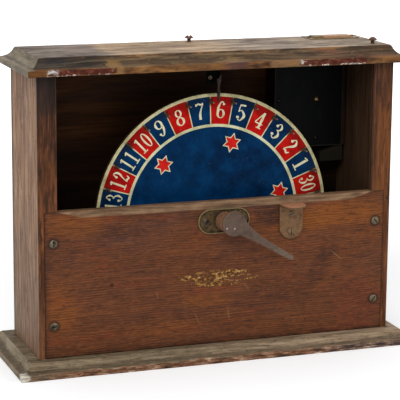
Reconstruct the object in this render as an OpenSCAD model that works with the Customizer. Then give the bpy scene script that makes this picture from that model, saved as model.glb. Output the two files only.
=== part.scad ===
// Counter-top trade stimulator: a numbered wheel behind an open window in an oak case.
// Origin at the centre of the base's underside, front towards -Y, +Z up, millimetres.
// Inside the modules, in_case() counts X from the case's centre, Y back from the case's
// front plane and Z up from the top face of the base board.

/* [Cabinet] */
// Width over the two side boards
cab_w = 356; // [348:1:400]
// Depth of the side boards, front edge to back edge
cab_d = 87; // [86:1:110]
// Height between the base board and the top board
cab_h = 266; // [264:1:300]
// Thickness of a side board
side_t = 19; // [16:0.5:21]
// Thickness of the back panel
back_t = 7.5; // [7.5:0.5:12]
// Height of the front panel above the wheel's axis
panel_rise = 18.5; // [17:0.5:30]
// Thickness of the front panel
panel_t = 10; // [8:0.5:10.5]
// Lap of the front panel over each side board's front edge
panel_lap = 12.5; // [10:0.5:15]
// Drop of the stopped chamfer on the front panel's upper edge
chamfer_drop = 6.5; // [2:0.5:8]
// Depth of that chamfer, front to back
chamfer_depth = 3.5; // [1:0.5:5]
// Plain edge left beyond each end of the chamfer
chamfer_end = 12; // [5:1:40]
// Length over which the chamfer runs out
chamfer_fade = 25; // [5:1:60]
// Distance of the glass groove behind the front plane
groove_y = 5; // [3:0.5:8]
// Width of the glass groove
groove_w = 3; // [2:0.5:4]
// Depth of the glass groove into each side board
groove_d = 4; // [2:0.5:6]

/* [Base and top] */
// Thickness of the base boards
base_t = 14; // [12:0.5:20]
// Height of the base's square edge under its cove
base_fillet = 6.4; // [3:0.2:9]
// Width of the base's cove, seen from above
base_cove = 11.5; // [6:0.5:16]
// Flat of the base left in front of the case
base_flat_front = 9.8; // [4:0.2:20]
// Flat of the base left beside the case
base_flat_side = 10.5; // [4:0.5:20]
// Flat of the base left behind the back panel
base_flat_back = 12.5; // [4:0.5:20]
// Thickness of the top board
top_t = 16; // [14:0.5:22]
// Height of the top board's square edge under its cove
top_fillet = 6; // [3:0.2:9]
// Width of the top board's cove, seen from above
top_cove = 12.7; // [11:0.1:16]
// How far the flat of the top lies inside the side boards' outer faces
top_inset_side = 2.5; // [0:0.5:6]
// How far the flat of the top lies inside the case's front and back planes
top_inset = 1; // [0:0.5:3]
// How much further the top reaches behind the side boards than before them
top_back = 4; // [0:0.5:6]

/* [Wheel] */
// Gap between the wheel and the base board
wheel_floor = 3; // [2:0.5:5]
// Room above the wheel, where the pointer hangs
wheel_room = 28; // [26:0.5:32]
// Thickness of the wheel's board
wheel_t = 4; // [3:0.5:6]
// Thickness of the printed dial on the board
dial_t = 0.5; // [0.3:0.1:1]
// Front face of the dial behind the front plane
wheel_y = 30; // [25.5:0.5:31]
// Offset of the wheel's axis from the case's centre
axis_x = 4; // [-4:0.5:8]
// Number of pegs, one on each dividing line
peg_count = 30; // [20:2:30]
// Radius of a peg
peg_r = 0.8; // [0.5:0.1:0.9]
// Length of a peg in front of the dial
peg_len = 10; // [5:0.5:10.5]
// Depth of a peg in the board
peg_depth = 3; // [2:0.5:3]
// Distance of the pegs from the wheel's rim
peg_inset = 7.6; // [4:0.2:8]
// Turn of the first number's centre line from the top, clockwise
dial_turn = 4.2; // [3.6:0.1:5]
// Radius of the hub's front flange
flange_r = 14.5; // [14:0.5:18]
// Thickness of the hub's front flange
flange_t = 5; // [4:0.5:5.4]
// Radius of the hub's sleeve
sleeve_r = 9; // [7:0.5:11]
// Length of the hub's sleeve behind the flange
sleeve_len = 14; // [10:0.5:18]
// Radius of the plate on the back of the wheel
hub_plate_r = 28; // [24:1:40]
// Thickness of that plate
hub_plate_t = 2.5; // [1.5:0.5:4]
// Radius of the circle of the wheel screws
hub_screw_circle = 20; // [17:0.5:23]
// Number of wheel screws
hub_screw_count = 3; // [3:1:6]
// Radius of the wheel's axle
axle_r = 4; // [3:0.5:5]
// Radius of the axle's thick part behind the hub
axle_shoulder_r = 6; // [5.5:0.5:8]
// Width and height of the bracket plate that holds the axle
bracket_plate = 58; // [50:1:70]
// Thickness of that plate
bracket_plate_t = 3; // [2:0.5:4]
// Radius of the bracket's boss
bracket_boss_r = 11; // [9:0.5:14]
// Length of the bracket's boss
bracket_boss_len = 9; // [6:0.5:14]

/* [Lever] */
// Length of the lever from its axis to the tip
lever_len = 74.5; // [70:0.5:76]
// Thickness of the lever
lever_t = 4; // [3:0.5:5]
// Radius of the lever's round head
lever_head_r = 12; // [10:0.5:12.5]
// Width of the lever at its tip
lever_tip_w = 4.8; // [3.6:0.2:5.2]
// Slope of the lever at rest, below horizontal
lever_tilt = 30.5; // [30:0.5:32]
// Travel of the lever, up to the stop's lip
lever_travel = 36; // [30:1:36]
// Distance of the lever's front face before the panel
lever_front = 20.5; // [19:0.5:22]
// Radius of the boss behind the lever
boss_r = 9; // [7:0.5:10]
// Radius of the lever's shaft
shaft_r = 4; // [3:0.5:5]
// Length of the escutcheon
plate_w = 52; // [48:1:56]
// Height of the escutcheon
plate_h = 24; // [22:0.5:25]
// Thickness of the escutcheon
plate_t = 1.4; // [1:0.2:2]
// Height of the escutcheon's raised rim above its plate
rim_h = 0.8; // [0.4:0.2:1]
// Width of that rim
rim_w = 1.6; // [1:0.2:2]
// Distance of each escutcheon screw from the axis
plate_screw_x = 17.8; // [16:0.2:18.4]
// Distance of the stop bracket's centre line from the axis
stop_x = 69; // [68:0.5:71]
// Width of the stop bracket
stop_w = 24; // [22:0.5:26]
// Top of the stop's lip above the axis
stop_top = 12.1; // [12:0.1:14]
// Height of the stop bracket
stop_h = 34.5; // [30:0.5:38]
// Thickness of the stop bracket's metal
stop_t = 1.9; // [1.2:0.1:2]
// Reach of the stop's lip before the panel
lip_reach = 19; // [16:0.5:20]
// Distance of the upper and lower stop screws below the lip's top
stop_screw_z = [9.9, 27.8];

/* [Drive] */
// Thickness of the drive arm behind the front panel
arm_t = 3; // [2:0.2:3.2]
// Radius of the drive arm's hub
arm_hub_r = 8; // [7:0.5:9]
// Distance of the pawl's pin from the axis
pawl_circle = 22; // [21.5:0.1:23]
// Direction of the pawl's arm at rest, counter-clockwise from the right
pawl_arm_turn = -130; // [-135:1:-125]
// Turn of the pawl for each degree of the lever
pawl_ratio = 0.75; // [0.7:0.05:0.8]
// Thickness of the pawl and the ratchet wheel
ratchet_t = 2.6; // [2:0.2:2.6]
// Radius over the ratchet's teeth
ratchet_r = 15; // [14.8:0.1:15.2]
// Depth of a ratchet tooth
tooth_depth = 2.2; // [1.8:0.1:2.4]
// Number of ratchet teeth
tooth_count = 24; // [24:12:24]
// Radius of the pawl's pin
pawl_pin_r = 2; // [1.5:0.1:2.2]
// Distance of the spring's stud from the axis
spring_arm = 20; // [18:0.5:22]
// Direction of the spring's arm at rest, below horizontal
spring_arm_tilt = 18; // [16:1:20]
// Distance of the spring's lower post below the axis
spring_drop = 62; // [50:1:80]
// Radius of the return spring
spring_r = 2.1; // [1.6:0.1:2.2]

/* [Pointer] */
// Offset of the pointer from the wheel's axis
pointer_x = 3; // [2:0.1:4]
// Distance of the pointer's pin below the top board
pointer_drop = 14.5; // [13:0.5:16]
// Width of the pointer at its pin
pointer_w = 4.4; // [3.6:0.2:5]
// Thickness of the pointer
pointer_t = 1.6; // [1:0.1:2]
// Radius of the pointer's tip
pointer_tip_r = 0.8; // [0.5:0.1:0.9]
// Radius of the pointer's pin
pointer_pin_r = 1; // [0.8:0.1:1.3]

/* [Coin unit] */
// Distance of the coin slot's centre from the right side board
coin_side = 17; // [15:0.5:21]
// Place of the coin slot behind the front plane
coin_y = 71; // [70:0.5:74]
// Width of the coin's way
coin_w = 22.5; // [20:0.5:23]
// Thickness of the coin's way
coin_gap = 3; // [2.4:0.2:3.4]
// Length and depth of the slot's plate on the top
slot_plate = [52, 24];
// Thickness of that plate
slot_plate_t = 0.9; // [0.6:0.1:1.5]
// Height of the plate's raised middle
slot_boss_h = 1.5; // [0.6:0.1:2]
// Front face of the black cover plate behind the front plane
cover_y = 62; // [60:0.5:63]
// Thickness of the cover plate
cover_t = 1; // [0.6:0.1:1.5]
// Distance of the cover plate's left edge from the right side board
cover_side = 79; // [75:1:85]
// Width of the cover plate
cover_w = 73; // [68:1:76]
// Height of the cover plate
cover_h = 91; // [80:1:95]
// Thickness of the wooden partition
partition_t = 8; // [6:0.5:10]
// Width of the wooden block that holds the coin's way
chute_w = 36; // [34:0.5:37]
// Reach of the trip lever from its pin
trip_len = 32; // [30:0.5:34]
// Fall of the trip lever under a coin, in degrees
trip_fall = 25; // [15:1:25]
// Width of the deflector block
deflector_w = 24.4; // [20:0.2:26]
// Height of the deflector block
deflector_h = 14.6; // [10:0.2:18]

/* [Cash door] */
// Width of the door's opening in the back panel
door_w = 104; // [96:1:110]
// Height of the door's opening
door_h = 66; // [60:1:70]
// Distance of the door's centre from the right side board
door_side = 64; // [61:1:69]
// Height of the opening above the base board
door_z = 8; // [6:1:12]
// Gap round the door
door_gap = 0.8; // [0.5:0.1:1.2]
// Height of a hinge
hinge_h = 18; // [15:1:20]
// Width of a hinge leaf
leaf_w = 12; // [10:0.5:14]
// Thickness of a hinge leaf
leaf_t = 1.2; // [0.8:0.1:1.5]
// Radius of a hinge knuckle
knuckle_r = 2.2; // [2:0.1:2.6]
// Radius of a hinge pin
hinge_pin_r = 1.1; // [0.8:0.1:1.3]
// Radius of the lock's body
lock_r = 7; // [6:0.5:8]
// Radius of the lock's turning plug
plug_r = 4; // [3.4:0.1:4.5]
// Reach of the lock's cam
cam_len = 20; // [18:0.5:24]
// Width of the cash tray
tray_w = 92; // [80:1:96]
// Clearance between the wheel and the cash tray
tray_gap = 5; // [3:0.5:8]
// Height of the cash tray
tray_h = 45; // [35:1:55]
// Wall of the cash tray
tray_wall = 4; // [2:0.5:5]

/* [Screws] */
// Head radius of the front panel's screws
panel_screw_head = 3.8; // [3:0.1:4.2]
// Distance of the front panel's screws from the case's outer faces
panel_screw_x = 15; // [13.5:0.5:15]
// Distance of the front panel's screws from the panel's lower and upper edges
panel_screw_edge = [30.5, 29.5];
// Depth of the front panel's screws in the side boards
panel_screw_bite = 17; // [10:1:25]
// Depth of the back panel's screws in the side boards
back_screw_bite = 18; // [10:1:25]
// Depth of the base's screws in the side boards
base_screw_bite = 21; // [12:1:30]
// Distance of the base's screws from the side boards' front and back edges
base_screw_edge = [22, 18];
// Depth of the two screws left standing in the top board
top_screw_bite = 12; // [8:1:14]
// How far those two screws stand out of the board
top_screw_out = 3.5; // [0:0.5:5]

/* [Hidden] */
$fn = 64;

// Running clearance of a pin or shaft in its hole, and clearance of what is fixed
run = 0.05;
snug = 0.02;
// Gap of parts that lie beside each other and move
air = 0.3;
eps = 0.01;

front_y = -(base_flat_front + base_cove + cab_d + back_t + base_flat_back + base_cove) / 2
    + base_flat_front + base_cove;
inner_w = cab_w - 2 * side_t;
wheel_r = (cab_h - wheel_floor - wheel_room) / 2;
axis_z = wheel_floor + wheel_r;
panel_h = axis_z + panel_rise;
coin_x = inner_w / 2 - coin_side;
cover_x = inner_w / 2 - cover_side;
door_x = inner_w / 2 - door_side;
panel_screw_z = [panel_screw_edge[0], panel_h - panel_screw_edge[1]];
base_screw_y = [base_screw_edge[0], cab_d - base_screw_edge[1]];
top_screw_at = [[-4, cab_d - 8], [cab_w / 2 - 16, 15]];
panel_w = inner_w + 2 * panel_lap;
back_y = cab_d + back_t;
top_z = cab_h + top_t;

// Wheel, from the dial's front face back
disc_y = wheel_y + dial_t;
disc_back = disc_y + wheel_t;
flange_y = wheel_y - flange_t;
sleeve_end = wheel_y + sleeve_len;
peg_circle = wheel_r - peg_inset;
peg_step = 360 / peg_count;
hub_screw_r = 1.5;
hub_screw_head_r = 2.8;
rivet_circle = 10.4;
rivet_r = 0.9;

// Ratchet and pawl lie between the drive arm and the hub's flange
ratchet_y = flange_y - ratchet_t;
arm_back = ratchet_y - 0.4;
arm_front = arm_back - arm_t;
axle_screw_head_r = 6;
axle_screw_head_t = 2;
axle_screw_r = 2;
axle_screw_len = 12;
axle_end = flange_y - 0.1;
bracket_front = cab_d - bracket_plate_t - bracket_boss_len;
bracket_screw_at = bracket_plate / 2 - 7;
bracket_screw_r = 1.8;
bracket_screw_bite = 6.5;

// Lever parts, from the panel forward
panel_rim_y = -(plate_t + rim_h);
boss_front = -lever_front + lever_t;
lever_head_at = [3, 2.2];
bushing_r = shaft_r + run + 2.4;
bushing_flange_r = bushing_r + 2;
stop_screw_r = 1.6;
stop_screw_head_r = 3.4;
lip_z = axis_z + stop_top;
lip_round = stop_w / 2;

// Pawl in its working place, when the arm points along X
tooth_angle = 360 / tooth_count;
root_r = ratchet_r - tooth_depth;
nose_r = root_r + 0.5;
nose_angle = -acos(nose_r / pawl_circle);
tooth_phase = pawl_arm_turn + lever_travel + nose_angle + 1.2;
pawl_lift = lever_travel * pawl_ratio;
pawl_inner = ratchet_r + 1.2;
pawl_outer = pawl_inner + 4;
pawl_tail = 9;
pawl_tail_angle = nose_angle + 90;
pawl_eye_r = pawl_pin_r + 2;
tail_r = 1.6;
throw_pin_r = 1.5;
stop_pin_r = 2;
spring_stud_r = 1.2;
spring_post_r = 1.5;
spring_wire = 0.5;
spring_y = arm_front - 2.2;
spring_x = axis_x + spring_arm * cos(spring_arm_tilt);
spring_top = axis_z - spring_arm * sin(spring_arm_tilt);
spring_foot = axis_z - spring_drop;

// Pointer
pointer_pin_z = cab_h - pointer_drop;
pointer_tip_circle = peg_circle + peg_r + 0.4;
pointer_len = pointer_pin_z - axis_z - sqrt(pow(pointer_tip_circle, 2) - pow(pointer_x, 2));
pointer_y = wheel_y - peg_len / 2 - pointer_t / 2;
pointer_leg_y = pointer_y + pointer_t + air;
pointer_leg_t = 1.6;
pointer_leg = [14, 19];
pointer_leg_left = 11.5;
pointer_flange = 16;
pointer_screw_r = 1.3;
pointer_screw_head_r = 2.4;

// Coin unit
coin_screw_r = 1.2;
coin_screw_head_r = 2.2;
coin_screw_bite = 7.8;
slot_boss = [slot_plate[0] - 12, 13];
chute_x = coin_x - coin_w / 2 - 10.5;
chute_bottom = cab_h - cover_h;
cover_screw_x = chute_x + 4.5;
cover_screw_z = [222.4, chute_bottom + 8];
trip_x = chute_x - 6;
trip_z = 218;
trip_t = 1.6;
trip_notch = 17 * tan(trip_fall) + 5;
trip_bar = 3;
trip_pin_r = 1.2;
trip_weight_r = 7.5;
trip_weight_x = -12;
deflector_x = coin_x - deflector_w / 2;
deflector_z = chute_bottom - 1.2 - deflector_h;

// Cash door; the hinge is on the door's outer side, the lock on its inner side
door_right = door_x + door_w / 2;
door_left = door_x - door_w / 2;
hinge_x = door_right - door_gap / 2;
knuckle_y = knuckle_r + air;
hinge_y = back_y + knuckle_y;
hinge_z = [door_z + 8, door_z + door_h - 8 - hinge_h];
hinge_screw_r = 1.1;
hinge_screw_head_r = 2.1;
hinge_screw_len = back_t - 2;
lock_x = door_left + 15;
lock_z = door_z + door_h / 2;
lock_flange_t = 1.5;
cam_t = 1.6;
cam_y = cab_d - 0.8 - cam_t;
tray_size = [tray_w, cam_y - 3 - disc_back - tray_gap];
tray_x = door_x - tray_size[0] / 2;
tray_y = cam_y - 3 - tray_size[1];

oak = "#6b4128";
oak_grey = "#84685a";
oak_top = "#7a6a55";
inner_wood = "#3a2a20";
brass = "#8a7a48";
steel = "#77706a";
bronze = "#7d6550";
dark_steel = "#3a3836";

// Moves what is built in the case's own coordinates to the part's origin
module in_case() {
    translate([0, front_y, base_t]) children();
}

// Extrudes a shape drawn as seen from the front, from depth y0 back to y1
module seen_from_front(y0, y1) {
    translate([0, y1, 0]) rotate([90, 0, 0]) linear_extrude(y1 - y0) children();
}

// A round bar along Y from depth y0 back to y1, with an optional bore
module y_bar(r, y0, y1, bore = 0) {
    seen_from_front(y0, y1) difference() {
        circle(r);
        if (bore > 0) circle(bore);
    }
}

module at_axis() {
    translate([axis_x, 0, axis_z]) children();
}

// A straight bar between two points of a flat shape
module bar_between(a, b, w) {
    d = b - a;
    translate(a) rotate(atan2(d[1], d[0])) translate([0, -w / 2]) square([norm(d), w]);
}

// A screw along -Z with its head's seat at z = 0; the head is a slotted dome
module dome_screw(head_r, head_h, shank_r, len, slot_w, turn = 0) {
    dome_r = (head_r * head_r + head_h * head_h) / (2 * head_h);
    difference() {
        union() {
            intersection() {
                translate([0, 0, head_h - dome_r]) sphere(dome_r);
                cylinder(r = head_r, h = head_h);
            }
            translate([0, 0, -len]) cylinder(r = shank_r, h = len + head_h / 2);
        }
        rotate(turn) translate([-head_r - 1, -slot_w / 2, head_h * 0.45])
            cube([2 * head_r + 2, slot_w, head_h]);
    }
}

module facing_front() {
    rotate([90, 0, 0]) children();
}

module facing_back() {
    rotate([-90, 0, 0]) children();
}

module facing_down() {
    rotate([180, 0, 0]) children();
}

// Side view of a moulded board: flat on top, with a hollow cove above a square edge
module cove_profile(span, t, fillet, cove) {
    drop = t - fillet;
    r = (cove * cove + drop * drop) / (2 * drop);
    difference() {
        square([span, t]);
        translate([0, fillet + r]) circle(r, $fn = 96);
        translate([span, fillet + r]) circle(r, $fn = 96);
    }
}

// A board with that moulding along all four edges, mitred at the corners
module moulded_board(size, t, fillet, cove) {
    intersection() {
        translate([0, size[1], 0]) rotate([90, 0, 0]) linear_extrude(size[1])
            cove_profile(size[0], t, fillet, cove);
        rotate([90, 0, 90]) linear_extrude(size[0])
            cove_profile(size[1], t, fillet, cove);
    }
}

base_size = [
    cab_w + 2 * (base_flat_side + base_cove),
    base_flat_front + cab_d + back_t + base_flat_back + 2 * base_cove,
];
base_front_y = -(base_flat_front + base_cove);
base_screw_at = [for (x = [-1, 1], y = base_screw_y) [x * (cab_w - side_t) / 2, y]];
base_screw_r = 2;
base_screw_head_r = 4;

module base_whole() {
    difference() {
        translate([-base_size[0] / 2, base_front_y, -base_t])
            moulded_board(base_size, base_t, base_fillet, base_cove);
        for (at = base_screw_at) translate([at[0], at[1], -base_t]) {
            translate([0, 0, -eps]) cylinder(r = base_screw_r + snug, h = base_t + 1);
            translate([0, 0, -eps]) cylinder(r = base_screw_head_r + snug, h = 3);
        }
    }
}

module base_board() {
    color(oak_top) in_case() intersection() {
        base_whole();
        translate([-base_size[0], base_front_y - 1, -base_t - 1])
            cube([2 * base_size[0], cab_d - base_front_y + 1, base_t + 2]);
    }
}

module base_back_strip() {
    color(oak_top) in_case() intersection() {
        base_whole();
        translate([-base_size[0], cab_d, -base_t - 1])
            cube([2 * base_size[0], base_size[1], base_t + 2]);
    }
}

// Each screw's head lies in its counterbore under the base
module base_screws() {
    color(steel) in_case() for (at = base_screw_at)
        translate([at[0], at[1], -base_t + 3 - eps]) facing_down()
            dome_screw(base_screw_head_r - 0.2, 2, base_screw_r, base_t - 3 + base_screw_bite, 1.1);
}

top_size = [
    cab_w - 2 * top_inset_side + 2 * top_cove,
    cab_d - 2 * top_inset + 2 * top_cove + top_back,
];
top_front_y = top_inset - top_cove;
top_screw_r = 1.8;
top_screw_head_r = 4.2;
top_screw_head_h = 3;
slot_screw_at = [for (x = [-1, 1]) [coin_x + x * (slot_plate[0] / 2 - 3), coin_y]];

module top_board() {
    color(oak_top) in_case() difference() {
        translate([-top_size[0] / 2, top_front_y, cab_h])
            moulded_board(top_size, top_t, top_fillet, top_cove);
        translate([coin_x - coin_w / 2, coin_y - coin_gap / 2, cab_h - 1])
            cube([coin_w, coin_gap, top_t + 2]);
        for (at = top_screw_at) translate([at[0], at[1], top_z - top_screw_bite])
            cylinder(r = top_screw_r + snug, h = top_screw_bite + 1);
        for (at = slot_screw_at) translate([at[0], at[1], top_z - 8])
            cylinder(r = coin_screw_r + snug, h = 9);
        for (at = pointer_screw_at) translate([at[0], at[1], cab_h - 1])
            cylinder(r = pointer_screw_r + snug, h = 10);
    }
}

module top_screws() {
    color(bronze) in_case() for (i = [0 : len(top_screw_at) - 1])
        translate([top_screw_at[i][0], top_screw_at[i][1], top_z + top_screw_out])
            dome_screw(top_screw_head_r, top_screw_head_h, top_screw_r,
                       top_screw_bite + top_screw_out, 1.4, 70 + 90 * i);
}

// A side board; its inner face is at x = 0 and it lies towards -X
module side_board() {
    difference() {
        translate([-side_t, 0, 0]) cube([side_t, cab_d, cab_h]);
        translate([-panel_lap, -1, -1]) cube([panel_lap + 1, panel_t + 1, panel_h + 1]);
        translate([-groove_d, groove_y, panel_h - eps])
            cube([groove_d + 1, groove_w, cab_h]);
        for (z = panel_screw_z) translate([panel_screw_x - side_t, panel_t - 1, z])
            facing_back() cylinder(r = panel_screw_r + snug, h = panel_screw_bite + 2);
        for (z = back_screw_z) translate([-side_t / 2, cab_d - back_screw_bite - 2, z])
            facing_back() cylinder(r = back_screw_r + snug, h = back_screw_bite + 3);
        for (y = base_screw_y) translate([-side_t / 2, y, -1])
            cylinder(r = base_screw_r + snug, h = base_screw_bite + 3);
    }
}

module left_side() {
    color(oak_grey) in_case() translate([-inner_w / 2, 0, 0]) side_board();
}

module right_side() {
    color(oak) in_case() translate([inner_w / 2, 0, 0]) mirror([1, 0, 0]) side_board();
}

panel_screw_r = 1.9;
back_screw_r = 1.7;
back_screw_z = [for (i = [0 : 3]) 28 + i * (cab_h - 48) / 3];

// Half space before a plane that meets the panel's top front edge at z = 0 and cuts the
// chamfer's full section at distance run_out along the edge; a huge run_out gives the chamfer
module chamfer_side(run_out) {
    turn = atan(chamfer_depth / run_out);
    slope = chamfer_drop * chamfer_depth / run_out;
    lean = asin(chamfer_depth / norm([slope, chamfer_drop, chamfer_depth]));
    big = 2 * cab_w;
    rotate([0, 0, turn]) rotate([-lean, 0, 0]) translate([-big, -big, -big])
        cube([2 * big, big, 2 * big]);
}

module stopped_chamfer() {
    half = panel_w / 2 - chamfer_end;
    translate([0, 0, panel_h]) intersection() {
        translate([0, 0, -chamfer_drop]) chamfer_side(1e6);
        translate([-half, 0, 0]) chamfer_side(chamfer_fade);
        mirror([1, 0, 0]) translate([-half, 0, 0]) chamfer_side(chamfer_fade);
        translate([-panel_w, -panel_t, -2 * chamfer_drop]) cube([2 * panel_w, 2 * panel_t, 4 * chamfer_drop]);
    }
}

module front_panel() {
    color(oak) in_case() difference() {
        translate([-panel_w / 2, 0, 0]) cube([panel_w, panel_t, panel_h]);
        stopped_chamfer();
        at_axis() y_bar(bushing_r + snug, -1, panel_t + 1);
        for (x = [-1, 1], z = panel_screw_z)
            translate([x * (cab_w / 2 - panel_screw_x), -1, z]) facing_back()
                cylinder(r = panel_screw_r + snug, h = panel_t + 2);
        for (at = hardware_screw_at) translate([at[0], -1, at[1]]) facing_back()
            cylinder(r = stop_screw_r + snug, h = 9);
        at_axis() for (at = panel_pin_at) translate([at[0], panel_t - 5, at[1]])
            facing_back() cylinder(r = at[2] + snug, h = 6);
    }
}

module front_panel_screws() {
    color(steel) in_case() for (x = [-1, 1], z = panel_screw_z)
        translate([x * (cab_w / 2 - panel_screw_x), 0, z]) facing_front()
            dome_screw(panel_screw_head, 1.3, panel_screw_r, panel_t + panel_screw_bite, 1.1,
                       20 * x + z);
}

module back_panel() {
    color(inner_wood) in_case() difference() {
        translate([-cab_w / 2, cab_d, 0]) cube([cab_w, back_t, cab_h]);
        translate([door_left, cab_d - 1, door_z]) cube([door_w, back_t + 2, door_h]);
        for (x = [-1, 1], z = back_screw_z)
            translate([x * (cab_w - side_t) / 2, cab_d - 1, z]) facing_back()
                cylinder(r = back_screw_r + snug, h = back_t + 2);
        for (x = [-1, 1], z = [-1, 1])
            translate([axis_x + x * bracket_screw_at, cab_d - 1, axis_z + z * bracket_screw_at])
                facing_back() cylinder(r = bracket_screw_r + snug, h = 8);
        for (z = hinge_z, dz = [4, hinge_h - 4])
            translate([hinge_x + leaf_w - 4, back_y - hinge_screw_len, z + dz]) facing_back()
                cylinder(r = hinge_screw_r + snug, h = back_t);
        translate([trip_x, cab_d - 1, trip_z]) facing_back()
            cylinder(r = trip_pin_r + snug, h = 7);
    }
}

module back_panel_screws() {
    color(steel) in_case() for (x = [-1, 1], z = back_screw_z)
        translate([x * (cab_w - side_t) / 2, back_y, z]) facing_back()
            dome_screw(3.4, 1.8, back_screw_r, back_t + back_screw_bite, 1, 35 * z);
}

// The wheel's pegs stand on the dividing lines between the numbers
function peg_at(i) =
    let (a = dial_turn + peg_step * (i + 0.5))
    [peg_circle * sin(a), peg_circle * cos(a)];

module peg_holes() {
    for (i = [0 : peg_count - 1]) translate(peg_at(i)) circle(peg_r + snug, $fn = 24);
}

module hub_screw_places() {
    for (i = [0 : hub_screw_count - 1]) rotate(90 + i * 360 / hub_screw_count)
        translate([hub_screw_circle, 0]) children();
}

module wheel_disc() {
    color("#5a4634") in_case() at_axis() seen_from_front(disc_y, disc_back) difference() {
        circle(wheel_r, $fn = 180);
        circle(sleeve_r + snug);
        peg_holes();
        hub_screw_places() circle(hub_screw_r + snug);
    }
}

module dial_face() {
    color("#0b3560") in_case() at_axis() seen_from_front(wheel_y, disc_y) difference() {
        circle(wheel_r, $fn = 180);
        circle(sleeve_r + snug);
        peg_holes();
    }
}

module wheel_pegs() {
    color(steel) in_case() at_axis() for (i = [0 : peg_count - 1])
        seen_from_front(wheel_y - peg_len, disc_y + peg_depth)
            translate(peg_at(i)) circle(peg_r, $fn = 24);
}

module wheel_hub() {
    color(brass) in_case() at_axis() {
        difference() {
            union() {
                y_bar(flange_r, flange_y, wheel_y);
                y_bar(sleeve_r, wheel_y - eps, sleeve_end);
            }
            y_bar(axle_r + run, flange_y - 1, sleeve_end + 1);
            for (i = [0 : 2]) rotate([0, 120 * i, 0]) translate([rivet_circle, 0, 0])
                y_bar(rivet_r + snug, flange_y - 1, flange_y + 3);
        }
    }
}

module hub_plate() {
    color(brass) in_case() at_axis() seen_from_front(disc_back, disc_back + hub_plate_t)
        difference() {
            circle(hub_plate_r);
            circle(sleeve_r + snug);
            hub_screw_places() circle(hub_screw_r + snug);
        }
}

module hub_screws() {
    color(steel) in_case() at_axis() for (i = [0 : hub_screw_count - 1])
        rotate([0, -90 - i * 360 / hub_screw_count, 0])
            translate([hub_screw_circle, disc_back + hub_plate_t, 0]) facing_back()
                dome_screw(hub_screw_head_r, 1.6, hub_screw_r, hub_plate_t + wheel_t - 0.5, 0.9);
}

// Saw teeth whose steep faces look clockwise
module ratchet_wheel() {
    teeth = [for (i = [0 : tooth_count - 1], k = [0, 1])
        let (a = tooth_phase + tooth_angle * i, r = k == 0 ? root_r : ratchet_r)
        [r * cos(a), r * sin(a)]];
    color(steel) in_case() at_axis() seen_from_front(ratchet_y, flange_y) difference() {
        polygon(teeth);
        circle(axle_screw_head_r + 1.6);
        for (i = [0 : 2]) rotate(-120 * i) translate([rivet_circle, 0])
            circle(rivet_r + snug);
    }
}

module ratchet_rivets() {
    color(brass) in_case() at_axis() for (i = [0 : 2]) rotate([0, 120 * i, 0])
        translate([rivet_circle, 0, 0]) y_bar(rivet_r, ratchet_y - 0.1, flange_y + 2.8);
}

module axle() {
    color(steel) in_case() at_axis() difference() {
        union() {
            y_bar(axle_r, axle_end, cab_d - 0.2);
            y_bar(axle_shoulder_r, sleeve_end + air, bracket_front);
        }
        y_bar(axle_screw_r + snug, axle_end - 1, axle_end + axle_screw_len - 1);
    }
}

// Screw in the axle's front end, which keeps the wheel on
module axle_screw() {
    color(steel) in_case() at_axis() translate([0, axle_end, 0]) facing_front()
        dome_screw(axle_screw_head_r, axle_screw_head_t, axle_screw_r, axle_screw_len - 2, 1.2);
}

module axle_bracket() {
    half = bracket_plate / 2;
    color(dark_steel) in_case() at_axis() difference() {
        union() {
            translate([-half, cab_d - bracket_plate_t, -half])
                cube([bracket_plate, bracket_plate_t, bracket_plate]);
            y_bar(bracket_boss_r, bracket_front, cab_d - bracket_plate_t + eps);
        }
        y_bar(axle_r + snug, bracket_front - 1, cab_d + 1);
        for (x = [-1, 1], z = [-1, 1])
            translate([x * bracket_screw_at, cab_d - bracket_plate_t - 1, z * bracket_screw_at])
                facing_back() cylinder(r = bracket_screw_r + snug, h = bracket_plate_t + 2);
    }
}

module axle_bracket_screws() {
    color(steel) in_case() at_axis() for (x = [-1, 1], z = [-1, 1])
        translate([x * bracket_screw_at, cab_d - bracket_plate_t, z * bracket_screw_at])
            facing_front() dome_screw(3.4, 1.8, bracket_screw_r,
                                      bracket_plate_t + bracket_screw_bite, 1, 50 * x);
}

module stadium(w, h) {
    reach = (w - h) / 2;
    square([w - h, h], center = true);
    for (x = [-1, 1]) translate([x * reach, 0]) circle(h / 2);
}

module escutcheon() {
    color(brass) in_case() at_axis() difference() {
        seen_from_front(panel_rim_y, 0) stadium(plate_w, plate_h);
        seen_from_front(panel_rim_y - 1, -plate_t)
            stadium(plate_w - 2 * rim_w, plate_h - 2 * rim_w);
        y_bar(bushing_flange_r + snug, -plate_t - 1, 1);
        for (x = [-1, 1]) translate([x * plate_screw_x, 0, 0])
            y_bar(stop_screw_r + snug, -plate_t - 1, 1);
    }
}

hardware_screw_at = [
    for (x = [-1, 1]) [axis_x + x * plate_screw_x, axis_z],
    for (dz = stop_screw_z) [axis_x + stop_x, lip_z - dz],
];
hardware_screw_seat = [-plate_t, -plate_t, -stop_t, -stop_t];
hardware_screw_bite = 6.9;

// Two screws hold the escutcheon and two hold the stop bracket
module hardware_screws() {
    color(bronze) in_case() for (i = [0 : 3])
        translate([hardware_screw_at[i][0], hardware_screw_seat[i], hardware_screw_at[i][1]])
            facing_front() dome_screw(stop_screw_head_r, 1.3, stop_screw_r,
                                      hardware_screw_bite - hardware_screw_seat[i], 0.9, 60 + 70 * i);
}

// Brass tube that carries the lever's shaft through the panel
module shaft_bushing() {
    color(brass) in_case() at_axis() difference() {
        union() {
            y_bar(bushing_r, -plate_t, arm_front - 1.2);
            y_bar(bushing_flange_r, -plate_t, 0);
        }
        y_bar(shaft_r + run, -plate_t - 1, arm_front);
    }
}

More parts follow.
